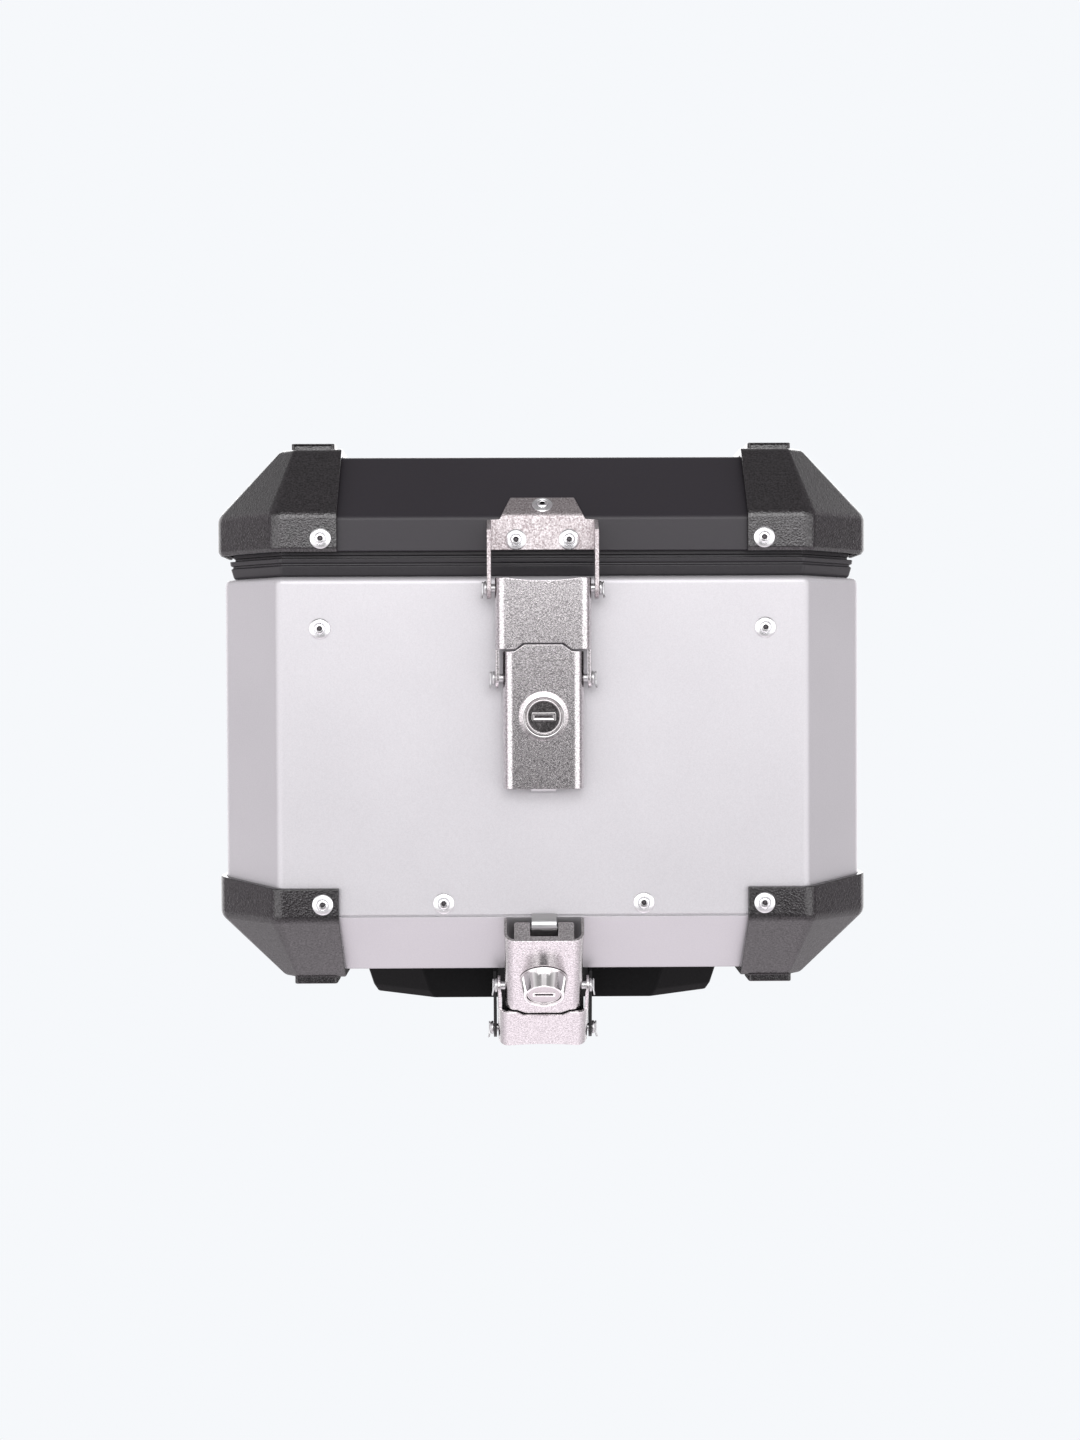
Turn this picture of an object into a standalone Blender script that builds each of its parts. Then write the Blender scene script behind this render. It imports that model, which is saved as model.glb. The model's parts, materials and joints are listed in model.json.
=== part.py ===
"""Aluminium motorcycle top case on its quick-release base plate.

Metres, +Z up. The origin is the middle of the base plate's underside, which bolts to the rack.
The latch side of the case faces -Y, and +X is to the right of someone who faces the latches.

The case is a chamfered (octagonal) sheet box. Every outline of it comes from outline(), so that
the shell, pan, seals, lid and corner guards all follow one shape. Both latches are the same set of
parts, built once in a latch frame (u across, v along, w outward) and placed by a matrix.
"""

import math
from functools import partial

import bmesh
import bpy
from mathutils import Matrix, Vector

# ---- Driving dimensions ------------------------------------------------------------------

SHEET = 0.0015            # aluminium sheet of the shell, pan and lid
GAP = 0.0003              # air left between pieces that touch
BEND_STEPS = 3            # facets in the bend of a vertical edge
ARC_STEPS = 3             # facets in a channel's bends

SHELL_HALF_W = 0.1953
SHELL_HALF_D = 0.183
SHELL_CHAMFER = 0.0363
SHELL_BEND = 0.006        # bend radius of the vertical edges
SEAM_Z = 0.0624           # lower edge of the shell, where the pan's slope starts
SHELL_TOP_Z = 0.2662      # the shelf at the top of the shell
RIM_INSET = 0.0065        # the upstand stands this far inside the shell's outer face
RIM_TOP_Z = 0.284

PAN_BOTTOM_Z = 0.0240
PAN_BOTTOM_HALF_W = 0.1555
PAN_BOTTOM_HALF_D = 0.1364
PAN_BOTTOM_CHAMFER = 0.005
PAN_SLOPE_TOP_Z = SEAM_Z - 0.0010
PAN_UPSTAND_TOP_Z = 0.082

LID_HALF_W = 0.1955
LID_HALF_D = 0.184
LID_CHAMFER = 0.0365
SKIRT_BOTTOM_Z = 0.2814
SKIRT_TOP_Z = 0.3018
LID_TOP_Z = 0.3415
LID_TOP_HALF_W = 0.1558
LID_TOP_HALF_D = 0.1443
LID_TOP_CHAMFER = 0.006

GUARD_PROUD = 0.004       # corner guards stand this far outside the sheet
GUARD_START_X = 0.1228    # a guard covers the corner outside these two planes
GUARD_START_Y = 0.109
BASE_GUARD_FOLD_Z = 0.0598
BASE_GUARD_FRONT_Z = 0.0792   # upper edge of a lower guard on the front face
BASE_GUARD_SIDE_Z = 0.0837    # and on the side face
BASE_GUARD_BOTTOM_Z = 0.0197
LID_GUARD_FOLD_Z = 0.304
LID_GUARD_TOP_Z = 0.3464
LUG_X = (0.128, 0.1546)
LUG_Y = (0.117, 0.141)
LUG_HEIGHT = 0.0042

HINGE_X = 0.085
HINGE_WIDTH = 0.050
HINGE_AXIS = Vector((0.0, SHELL_HALF_D + 0.0075, 0.276))
HINGE_PIN_R = 0.0025
KNUCKLE_R = 0.005
LEAF = 0.002

RIVET_HEAD_R = 0.0062
RIVET_SHANK_R = 0.0024
RIVET_HOLE_R = 0.0028
RIVET_TAIL_R = 0.0040     # room for a rivet's upset tail
GUARD_RIVET_X = 0.1325
GUARD_RIVET_LID_Z = 0.2888
CASE_RIVET_LOW_Z = 0.0698
CASE_RIVET_HIGH = (0.1337, 0.2351)
PAN_RIVET_X = 0.0602
BRACKET_RIVET = (0.0159, 0.2878)

# Latch set, in its own frame: v = 0 on the lever's pivot, w = 0 on the case's surface.
LATCH_SHEET = 0.0018
LINK_HALF_U = 0.0285
LEVER_HALF_U = 0.024
LATCH_FACE_W = 0.0195
LEVER_FACE_W = 0.0180        # the lever's face lies below the link's
LATCH_BEND = 0.0050
PIVOT_W = 0.0095
LINK_PIVOT_V = 0.0532
LINK_END_V = 0.0594
LINK_EDGE_V = 0.0173
NOTCH_V = 0.0210
NOTCH_HALF_U = (0.0180, 0.0120)
LINK_DIP = 0.0018         # the link's upper edge is hollowed by this much
LEVER_EDGE_V = 0.0160
LEVER_TAB_V = 0.0200
LEVER_TAB_HALF_U = (0.0170, 0.0111)
LEVER_END_V = -0.0656
EYE_R = 0.0062
LATCH_PIN_R = 0.0025
LOCK_V = -0.0220
LOCK_BEZEL_R = (0.0150, 0.0127)
LOCK_BEZEL_H = 0.0108
LOCK_BARREL_R = 0.0095
LOCK_PLUG_R = 0.0104
CATCH_HALF_U = 0.015
TONGUE_HALF_U = 0.0075
TONGUE_W = 0.0076         # underside of the tongue, which the lock's cam turns beneath

UPPER_TILT = math.radians(2.5)      # the upper latch leans off the case's front face
UPPER_LEVER_Z = 0.2055              # height of the upper lever's pivot
BRACKET_HALF_U = 0.0309             # inside of the lid bracket's legs
BRACKET_SHEET = 0.0022
BRACKET_FLAP = 0.0151               # its flap on the lid's slope
BRACKET_RIVET_UP = 0.0071           # the flap's rivet above the lid's fold, along the slope
LOWER_START = -0.0012               # lever's free end, measured down the slope from its top

BASE_CENTRE_Y = 0.005
BASE_HALF_D = (0.1045, 0.1060, 0.108)      # underside, top of the lip, rim
BASE_TOP_Z = PAN_BOTTOM_Z - GAP
BASE_LIP_Z = 0.0047
BASE_HALF_W = (0.1075, 0.1105, 0.1165)
BASE_CHAMFER = (0.038, 0.030)
BASE_WALL = 0.004
BASE_FLOOR_Z = 0.0055
BOLT_SLOT = (0.0085, 0.026)
BOLT_SLOT_PLACES = [(sx * 0.060, y) for sx in (-1, 1) for y in (-0.050, 0.060)]
BUFFER_PLACES = {"front_left": (-0.085, -0.060), "front_right": (0.085, -0.060),
                 "rear_left": (-0.085, 0.070), "rear_right": (0.085, 0.070)}
DOCK_THICKNESS = 0.0025
EAR_HALF_U = 0.0295                 # inside of the base bracket's ears
EAR_SHEET = 0.002

STRAP_Y = (0.090, 0.110)
STRAP_THICKNESS = 0.0015
STRAP_WALL_X = 0.1927               # its outer leg lies against the side wall
STRAP_INNER_X = 0.1835              # its inner leg rises inside the rim
STRAP_FOLD_Z = 0.180
STRAP_ENDS_Z = (0.232, 0.308)


# ---- Scene helpers -----------------------------------------------------------------------

def clear_scene():
    for obj in list(bpy.data.objects):
        bpy.data.objects.remove(obj)


def make_material(name, colour, roughness, metallic):
    material = bpy.data.materials.new(name)
    material.use_nodes = True
    shader = material.node_tree.nodes["Principled BSDF"]
    shader.inputs["Base Color"].default_value = (*colour, 1.0)
    shader.inputs["Roughness"].default_value = roughness
    shader.inputs["Metallic"].default_value = metallic
    return material


def add_frame(name, matrix, parent=None):
    """An empty that carries the pieces of one moving body."""
    empty = bpy.data.objects.new(name, None)
    empty.empty_display_size = 0.02
    bpy.context.scene.collection.objects.link(empty)
    empty.parent = parent
    bpy.context.view_layer.update()
    empty.matrix_world = matrix
    bpy.context.view_layer.update()
    return empty


def finish_mesh(bm, name):
    bmesh.ops.recalc_face_normals(bm, faces=bm.faces)
    mesh = bpy.data.meshes.new(name)
    bm.to_mesh(mesh)
    bm.free()
    return mesh


def add_piece(name, bm, material, frame):
    """A sub-part. Its mesh is built in world coordinates and stored in its frame's coordinates."""
    mesh = finish_mesh(bm, name)
    mesh.transform(frame.matrix_world.inverted())
    mesh.materials.append(material)
    mesh.shade_smooth()
    mesh.set_sharp_from_angle(angle=math.radians(30))
    obj = bpy.data.objects.new(name, mesh)
    bpy.context.scene.collection.objects.link(obj)
    obj.parent = frame
    return obj


def add_helper(name, bm):
    """A cutter or a shape to join: it is no piece of its own."""
    obj = bpy.data.objects.new(name, finish_mesh(bm, name))
    bpy.context.scene.collection.objects.link(obj)
    obj.hide_render = True
    obj.display_type = "WIRE"
    return obj


def combine(obj, bm, operation):
    """Boolean of obj with the shape in bm: DIFFERENCE, UNION or INTERSECT."""
    helper = add_helper(f"{obj.name}_{operation.lower()}_{len(obj.modifiers)}", bm)
    modifier = obj.modifiers.new(helper.name, "BOOLEAN")
    modifier.operation = operation
    modifier.solver = "EXACT"
    modifier.object = helper
    return obj


# ---- Shape helpers -----------------------------------------------------------------------

def rounded(points, radius, steps):
    """The closed polygon of points, anticlockwise, with each corner turned into an arc."""
    if radius <= 0:
        return [Vector(p) for p in points]
    result = []
    count = len(points)
    for i in range(count):
        corner = Vector(points[i])
        before = (Vector(points[i - 1]) - corner).normalized()
        after = (Vector(points[(i + 1) % count]) - corner).normalized()
        half = before.angle(after) / 2
        centre = corner + (before + after).normalized() * (radius / math.sin(half))
        start = corner + before * (radius / math.tan(half)) - centre
        end = corner + after * (radius / math.tan(half)) - centre
        turn = start.angle(end)
        for step in range(steps + 1):
            share = step / steps
            weight_a = math.sin((1 - share) * turn) / math.sin(turn)
            weight_b = math.sin(share * turn) / math.sin(turn)
            result.append(centre + start * weight_a + end * weight_b)
    return result


def outline(half_w, half_d, chamfer, bend=SHELL_BEND, centre_y=0.0, steps=BEND_STEPS):
    """The chamfered rectangle of one level, anticlockwise. chamfer is one size or (along X, along Y)."""
    cx, cy = chamfer if isinstance(chamfer, tuple) else (chamfer, chamfer)
    corners = []
    for sx, sy in ((1, -1), (1, 1), (-1, 1), (-1, -1)):
        along_x = Vector((sx * (half_w - cx), sy * half_d + centre_y))
        along_y = Vector((sx * half_w, sy * (half_d - cy) + centre_y))
        corners += [along_x, along_y] if sx * sy < 0 else [along_y, along_x]
    return rounded(corners, bend, steps)


def grown(half_w, half_d, chamfer, by):
    """Sizes of a chamfered rectangle after its sides all move outward by the same distance."""
    return half_w + by, half_d + by, chamfer + by * (2 - math.sqrt(2))


def shell_ring(inset, z):
    bend = max(SHELL_BEND - inset, 0.001)
    return outline(*grown(SHELL_HALF_W, SHELL_HALF_D, SHELL_CHAMFER, -inset), bend), z


def lid_ring(inset, z):
    bend = max(SHELL_BEND - inset, 0.001)
    return outline(*grown(LID_HALF_W, LID_HALF_D, LID_CHAMFER, -inset), bend), z


def pan_ring(inset, z):
    return outline(*grown(PAN_BOTTOM_HALF_W, PAN_BOTTOM_HALF_D, PAN_BOTTOM_CHAMFER, -inset), 0.001), z


def lid_top_ring(inset, z):
    return outline(*grown(LID_TOP_HALF_W, LID_TOP_HALF_D, LID_TOP_CHAMFER, -inset), 0.001), z


def ring_loft(rings, closed=False):
    """Solid through rings of equally many points. A closed one is a frame, an open one has end caps."""
    bm = bmesh.new()
    loops = [[bm.verts.new((p.x, p.y, z)) for p in points] for points, z in rings]
    pairs = list(zip(loops, loops[1:]))
    if closed:
        pairs.append((loops[-1], loops[0]))
    else:
        bm.faces.new(loops[0])
        bm.faces.new(loops[-1])
    for low, high in pairs:
        for i in range(len(low)):
            j = (i + 1) % len(low)
            bm.faces.new((low[i], low[j], high[j], high[i]))
    return bm


def prism(points, low, high, place):
    """A 2-D polygon extruded from low to high. place(a, b, c) gives the world point."""
    bm = bmesh.new()
    ends = [[bm.verts.new(place(p[0], p[1], c)) for p in points] for c in (low, high)]
    bm.faces.new(ends[0])
    bm.faces.new(ends[1])
    for i in range(len(points)):
        j = (i + 1) % len(points)
        bm.faces.new((ends[0][i], ends[0][j], ends[1][j], ends[1][i]))
    return bm


def box(low, high):
    corners = [(low[0], low[1]), (high[0], low[1]), (high[0], high[1]), (low[0], high[1])]
    return prism(corners, low[2], high[2], upright)


def turned_ring(bm, radius, height, steps, place):
    angles = [2 * math.pi * i / steps for i in range(steps)]
    return [bm.verts.new(place(radius * math.cos(a), radius * math.sin(a), height)) for a in angles]


def lathe(profile, steps, place):
    """Solid of revolution. profile is (radius, height) pairs from the axis to the axis."""
    bm = bmesh.new()
    rings = []
    for radius, height in profile:
        if radius < 1e-7:
            rings.append([bm.verts.new(place(0.0, 0.0, height))])
            continue
        rings.append(turned_ring(bm, radius, height, steps, place))
    for low, high in zip(rings, rings[1:]):
        for i in range(steps):
            j = (i + 1) % steps
            if len(low) == 1 and len(high) > 1:
                bm.faces.new((low[0], high[i], high[j]))
            elif len(high) == 1:
                bm.faces.new((low[i], low[j], high[0]))
            else:
                bm.faces.new((low[i], low[j], high[j], high[i]))
    return bm


def closed_lathe(profile, steps, place):
    """Turned ring: the profile is closed and never reaches the axis."""
    bm = bmesh.new()
    rings = [turned_ring(bm, radius, height, steps, place) for radius, height in profile]
    for low, high in zip(rings, rings[1:] + rings[:1]):
        for i in range(steps):
            j = (i + 1) % steps
            bm.faces.new((low[i], low[j], high[j], high[i]))
    return bm


def rod(radius, low, high, steps, place):
    return lathe([(0, low), (radius, low), (radius, high), (0, high)], steps, place)


def merged(*shapes):
    """One bmesh that holds several separate shapes, used as a single cutter."""
    result = bmesh.new()
    for bm in shapes:
        mesh = bpy.data.meshes.new("part_of_cutter")
        bmesh.ops.recalc_face_normals(bm, faces=bm.faces)
        bm.to_mesh(mesh)
        bm.free()
        result.from_mesh(mesh)
        bpy.data.meshes.remove(mesh)
    return result


def arc(centre, radius, start_deg, end_deg, steps=4):
    """Points on a circle in a 2-D plane, both ends included."""
    angles = [math.radians(start_deg + (end_deg - start_deg) * i / steps) for i in range(steps + 1)]
    return [(centre[0] + radius * math.cos(a), centre[1] + radius * math.sin(a)) for a in angles]


def axis_place(origin, axis):
    """place() for a turned piece: heights run along axis from origin."""
    turn = Vector(axis).normalized().to_track_quat("Z", "X").to_matrix()
    return lambda a, b, c: Vector(origin) + turn @ Vector((a, b, c))


def across_x(a, b, c):
    """place() for a side outline in (y, z) that runs across X."""
    return Vector((c, a, b))


def upright(a, b, c):
    """place() for a plan outline in (x, y) that runs up Z."""
    return Vector((a, b, c))


# ---- Rivets ------------------------------------------------------------------------------

def rivet_points():
    """Blind rivets that are pieces of their own: name -> (point on the outer sheet, outward axis, grip)."""
    front = Vector((0, -1, 0))
    guard_lid_y = -(LID_HALF_D + GUARD_PROUD)
    guard_base_y = -(SHELL_HALF_D + GUARD_PROUD)
    bracket_y = -(LID_HALF_D + GAP + BRACKET_SHEET)
    slope = Vector((0, -1, 1)).normalized()
    rivets = {}
    for side, sx in (("left", -1), ("right", 1)):
        rivets[f"rivet_lid_guard_{side}"] = (
            (sx * GUARD_RIVET_X, guard_lid_y, GUARD_RIVET_LID_Z), front, 0.0060)
        rivets[f"rivet_base_guard_{side}"] = (
            (sx * GUARD_RIVET_X, guard_base_y, CASE_RIVET_LOW_Z), front, 0.0078)
        rivets[f"rivet_strap_{side}"] = (
            (sx * CASE_RIVET_HIGH[0], -SHELL_HALF_D, CASE_RIVET_HIGH[1]), front, 0.0022)
        rivets[f"rivet_pan_{side}"] = ((sx * PAN_RIVET_X, -SHELL_HALF_D, CASE_RIVET_LOW_Z), front, 0.0038)
        rivets[f"rivet_bracket_{side}"] = (
            (sx * BRACKET_RIVET[0], bracket_y, BRACKET_RIVET[1]), front, 0.0044)
    middle = Vector((0, -LID_HALF_D, SKIRT_TOP_Z)) + Vector((0, 1, 1)).normalized() * BRACKET_RIVET_UP
    rivets["rivet_bracket_top"] = (tuple(middle + slope * (GAP + BRACKET_SHEET)), slope, 0.0044)
    return rivets


def rivet(point, axis, grip):
    """Large-flange blind rivet: flange and dome outside, upset bulb behind the sheets it grips."""
    flange = [(RIVET_HEAD_R, GAP), (RIVET_HEAD_R, GAP + 0.0005), (0.0046, GAP + 0.0013)]
    crown = [(0.0026, GAP + 0.0018), (0.0014, GAP + 0.0018), (0, GAP + 0.0004)]
    behind = [(0, -grip - 0.0035), (0.0036, -grip - 0.0022), (RIVET_SHANK_R, -grip)]
    return lathe(behind + [(RIVET_SHANK_R, GAP)] + flange + crown, 10, axis_place(point, axis))


def rivet_names(*kinds):
    return [f"rivet_{kind}_{side}" for kind in kinds for side in ("left", "right")]


def drill(obj, names, radius=RIVET_HOLE_R):
    """Clearance holes in obj for the named rivets."""
    rivets = rivet_points()
    places = [axis_place(rivets[name][0], rivets[name][1]) for name in names]
    holes = [rod(radius, -0.014, 0.006, 8, place) for place in places]
    return combine(obj, merged(*holes), "DIFFERENCE")


# ---- Case --------------------------------------------------------------------------------

def build_body_shell(frame, material):
    """Wrapped side walls with an inward shelf and an upstand for the rim seal."""
    inside = RIM_INSET + SHEET
    rings = [shell_ring(0, SEAM_Z), shell_ring(0, SHELL_TOP_Z - 0.0025),
             shell_ring(0.0008, SHELL_TOP_Z - 0.0008), shell_ring(0.0025, SHELL_TOP_Z),
             shell_ring(RIM_INSET, SHELL_TOP_Z), shell_ring(RIM_INSET, RIM_TOP_Z),
             shell_ring(inside, RIM_TOP_Z), shell_ring(inside, SHELL_TOP_Z - SHEET),
             shell_ring(0.0030, SHELL_TOP_Z - SHEET), shell_ring(SHEET, SHELL_TOP_Z - 0.0035),
             shell_ring(SHEET, SEAM_Z)]
    obj = add_piece("body_shell", ring_loft(rings, closed=True), material, frame)
    return drill(obj, rivet_names("base_guard", "strap", "pan"))


def build_bottom_pan(frame, material):
    """Tray with sloping sides, whose upstand sits inside the shell's lower edge."""
    upstand = SHEET + GAP
    inside = upstand + SHEET
    rings = [pan_ring(0, PAN_BOTTOM_Z), shell_ring(GAP, PAN_SLOPE_TOP_Z), shell_ring(GAP, SEAM_Z - GAP),
             shell_ring(upstand, SEAM_Z - GAP), shell_ring(upstand, PAN_UPSTAND_TOP_Z),
             shell_ring(inside, PAN_UPSTAND_TOP_Z), shell_ring(inside, PAN_SLOPE_TOP_Z),
             pan_ring(0.0008, PAN_BOTTOM_Z + SHEET)]
    obj = add_piece("bottom_pan", ring_loft(rings), material, frame)
    return drill(obj, rivet_names("base_guard", "pan"))


def build_rim_seal(frame, material):
    """Rubber trim that straddles the upstand, with a lip outside under the lid's skirt."""
    low = SHELL_TOP_Z + GAP
    outer, inner = RIM_INSET - GAP, RIM_INSET + SHEET + GAP
    section = [(outer, low), (0.0056, low), (0.0052, low + 0.0030), (0.0030, low + 0.0078),
               (0.0027, low + 0.0106), (0.0045, low + 0.0113), (0.0048, RIM_TOP_Z + 0.0030),
               (0.0065, RIM_TOP_Z + 0.0050),
               (0.0090, RIM_TOP_Z + 0.0050), (0.0103, RIM_TOP_Z + 0.0030), (0.0103, low + 0.0040),
               (inner, low + 0.0040), (inner, RIM_TOP_Z + GAP), (outer, RIM_TOP_Z + GAP)]
    rings = [shell_ring(inset, z) for inset, z in section]
    return add_piece("rim_seal", ring_loft(rings, closed=True), material, frame)


def guard_region(sx, sy, low_z, high_z):
    """The corner of the case that a guard covers."""
    xs = sorted((sx * GUARD_START_X, sx * 0.25))
    ys = sorted((sy * GUARD_START_Y, sy * 0.25))
    return box((xs[0], ys[0], low_z), (xs[1], ys[1], high_z))


def lug(sx, sy, low_z, high_z):
    """Moulded pad on a guard: a foot below, a stacking lug above."""
    xs = sorted((sx * LUG_X[0], sx * LUG_X[1]))
    ys = sorted((sy * LUG_Y[0], sy * LUG_Y[1]))
    corners = [(xs[0], ys[0]), (xs[1], ys[0]), (xs[1], ys[1]), (xs[0], ys[1])]
    return prism(rounded(corners, 0.002, 2), low_z, high_z, upright)


def build_base_guard(name, sx, sy, frame, material, rivets):
    """Plastic guard round a lower corner, with a foot under it."""
    top = 0.100
    proud = GUARD_PROUD
    outer = ring_loft([pan_ring(-0.005, BASE_GUARD_BOTTOM_Z), shell_ring(-proud, BASE_GUARD_FOLD_Z),
                       shell_ring(-proud, top)])
    inner = ring_loft([pan_ring(-0.0007, PAN_BOTTOM_Z - 0.0005),
                       shell_ring(-0.0004, PAN_SLOPE_TOP_Z - 0.0004), shell_ring(-0.0004, top + 0.010)])
    obj = add_piece(name, outer, material, frame)
    combine(obj, inner, "DIFFERENCE")
    # The upper edge is level on the front and rear faces, climbs along the chamfer and is level on the side.
    climb_end = SHELL_HALF_D - SHELL_CHAMFER
    far = 0.25
    edge = [(0, 0), (far, 0), (far, BASE_GUARD_FRONT_Z), (SHELL_HALF_D + proud, BASE_GUARD_FRONT_Z),
            (climb_end, BASE_GUARD_SIDE_Z), (0, BASE_GUARD_SIDE_Z)]
    keep = prism([(sy * a, b) for a, b in edge], -far, far, across_x)
    combine(obj, keep, "INTERSECT")
    combine(obj, guard_region(sx, sy, 0.0, top), "INTERSECT")
    combine(obj, lug(sx, sy, BASE_GUARD_BOTTOM_Z - LUG_HEIGHT, BASE_GUARD_BOTTOM_Z + 0.002), "UNION")
    if rivets:
        drill(obj, rivets)
    return obj


def build_lid_guard(name, sx, sy, frame, material, rivets):
    """Plastic guard over a lid corner, with a stacking lug that has a recess in its outer face."""
    proud = GUARD_PROUD
    outer = ring_loft([lid_ring(-proud, SKIRT_BOTTOM_Z - 0.0006), lid_ring(-proud, LID_GUARD_FOLD_Z),
                       lid_top_ring(-0.005, LID_GUARD_TOP_Z)])
    inner = ring_loft([lid_ring(-0.0004, SKIRT_BOTTOM_Z - 0.010), lid_ring(-0.0004, SKIRT_TOP_Z + 0.0004),
                       lid_top_ring(-0.0007, LID_TOP_Z + 0.0005)])
    obj = add_piece(name, outer, material, frame)
    combine(obj, inner, "DIFFERENCE")
    combine(obj, guard_region(sx, sy, 0.25, 0.40), "INTERSECT")
    combine(obj, lug(sx, sy, LID_GUARD_TOP_Z - 0.002, LID_GUARD_TOP_Z + LUG_HEIGHT), "UNION")
    xs = sorted((sx * (LUG_X[0] + 0.0018), sx * (LUG_X[1] - 0.0018)))
    ys = sorted((sy * (LUG_Y[1] - 0.0015), sy * (LUG_Y[1] + 0.004)))
    recess_z = (LID_GUARD_TOP_Z + 0.0006, LID_GUARD_TOP_Z + LUG_HEIGHT - 0.0009)
    combine(obj, box((xs[0], ys[0], recess_z[0]), (xs[1], ys[1], recess_z[1])), "DIFFERENCE")
    if rivets:
        drill(obj, rivets)
    return obj


def build_stay_strap(name, sx, frame, material):
    """Webbing that stops the lid. While the lid is shut it hangs in a fold inside the side wall."""
    outer_r = (STRAP_WALL_X - STRAP_INNER_X + STRAP_THICKNESS) / 2
    centre = (STRAP_WALL_X - outer_r, STRAP_FOLD_Z + outer_r)
    loop = [(STRAP_WALL_X, STRAP_ENDS_Z[0]), (STRAP_WALL_X - STRAP_THICKNESS, STRAP_ENDS_Z[0])]
    loop += arc(centre, outer_r - STRAP_THICKNESS, 0, -180, 6)
    loop += [(STRAP_INNER_X, STRAP_ENDS_Z[1]), (STRAP_INNER_X - STRAP_THICKNESS, STRAP_ENDS_Z[1])]
    loop += arc(centre, outer_r, 180, 360, 6)
    place = lambda a, b, c: Vector((sx * a, c, b))
    return add_piece(name, prism(loop, *STRAP_Y, place), material, frame)


def build_dock_plate(frame, material):
    """Steel plate under the pan, with a folded tongue that goes to the base plate's front hook."""
    low = BASE_TOP_Z - DOCK_THICKNESS
    plate = [(-0.075, -0.075), (0.075, -0.075), (0.075, 0.072), (-0.075, 0.072)]
    obj = add_piece("dock_plate", prism(rounded(plate, 0.010, 3), low, BASE_TOP_Z, upright), material, frame)
    tongue = [(0.0695, low + 0.001), (0.0695, 0.0090), (0.0792, 0.0090), (0.0792, 0.0115),
              (0.0720, 0.0115), (0.0720, low + 0.001)]
    return combine(obj, prism(tongue, -0.035, 0.035, across_x), "UNION")


# ---- Lid ---------------------------------------------------------------------------------

def build_lid_shell(frame, material):
    rings = [lid_top_ring(0, LID_TOP_Z), lid_ring(0, SKIRT_TOP_Z), lid_ring(0, SKIRT_BOTTOM_Z),
             lid_ring(SHEET, SKIRT_BOTTOM_Z), lid_ring(SHEET, SKIRT_TOP_Z - 0.0006),
             lid_top_ring(0.0008, LID_TOP_Z - SHEET)]
    obj = add_piece("lid_shell", ring_loft(rings), material, frame)
    return drill(obj, rivet_names("lid_guard", "bracket") + ["rivet_bracket_top"])


def build_lid_gasket(frame, material):
    """Foam ring inside the lid that lands on the rim seal, cut away for the top rivet's tail."""
    low, high = RIM_TOP_Z + 0.0056, SKIRT_TOP_Z
    section = [(0.0056, low + 0.0012), (0.0062, low), (0.0112, low), (0.0112, high + 0.0016),
               (0.0056, high + 0.0032)]
    rings = [lid_ring(inset, z) for inset, z in section]
    obj = add_piece("lid_gasket", ring_loft(rings, closed=True), material, frame)
    return drill(obj, ["rivet_bracket_top"], RIVET_TAIL_R)


def hinge_place(x, a, b, c):
    return Vector((x + c, HINGE_AXIS.y + a, HINGE_AXIS.z + b))


def build_hinge_leaf(name, x, frame, material, on_lid):
    """Steel leaf with its rolled knuckles, and a short web from the knuckle to the leaf."""
    half = HINGE_WIDTH / 2
    face = (LID_HALF_D if on_lid else SHELL_HALF_D) + GAP - HINGE_AXIS.y
    if on_lid:
        leaf = [(face, 0.0065), (face + LEAF, 0.0045), (face + LEAF, 0.0245), (face, 0.0245)]
        spans = [(-half / 3, half / 3)]
        web = [(face, 0.0070), (face + 0.0005, 0.0015), (-0.001, 0.0045), (face + LEAF, 0.0080)]
    else:
        leaf = [(face, -0.055), (face + LEAF, -0.055), (face + LEAF, -0.0045), (face, -0.0065)]
        spans = [(-half, -half / 3 - GAP * 2), (half / 3 + GAP * 2, half)]
        web = [(face, -0.0070), (face + LEAF, -0.0080), (-0.001, -0.0045), (face + 0.0005, -0.0015)]
    place = partial(hinge_place, x)
    obj = add_piece(name, prism(leaf, -half, half, place), material, frame)
    for low, high in spans:
        combine(obj, prism(web, low, high, place), "UNION")
        combine(obj, rod(KNUCKLE_R, low, high, 14, place), "UNION")
    combine(obj, rod(HINGE_PIN_R + GAP, -half - 0.01, half + 0.01, 12, place), "DIFFERENCE")
    return obj


def build_hinge_pin(name, x, frame, material):
    half = HINGE_WIDTH / 2 + GAP
    profile = [(0, -half - 0.002), (KNUCKLE_R - 0.001, -half - 0.0015), (KNUCKLE_R - 0.001, -half),
               (HINGE_PIN_R, -half), (HINGE_PIN_R, half), (KNUCKLE_R - 0.001, half),
               (KNUCKLE_R - 0.001, half + 0.0015), (0, half + 0.002)]
    return add_piece(name, lathe(profile, 12, partial(hinge_place, x)), material, frame)


# ---- Latch sets --------------------------------------------------------------------------

def latch_matrix(u_axis, v_axis, w_axis, origin):
    matrix = Matrix((u_axis, v_axis, w_axis)).transposed().to_4x4()
    matrix.translation = origin
    return matrix


def upper_latch_matrix():
    """The upper latch hangs off the lid and leans out from the front face towards its top."""
    v_axis = Vector((0, -math.sin(UPPER_TILT), math.cos(UPPER_TILT)))
    w_axis = Vector((0, -math.cos(UPPER_TILT), -math.sin(UPPER_TILT)))
    lean = (-LEVER_END_V) * math.sin(UPPER_TILT)
    return latch_matrix(Vector((1, 0, 0)), v_axis, w_axis, Vector((0, -SHELL_HALF_D - lean, UPPER_LEVER_Z)))


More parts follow.
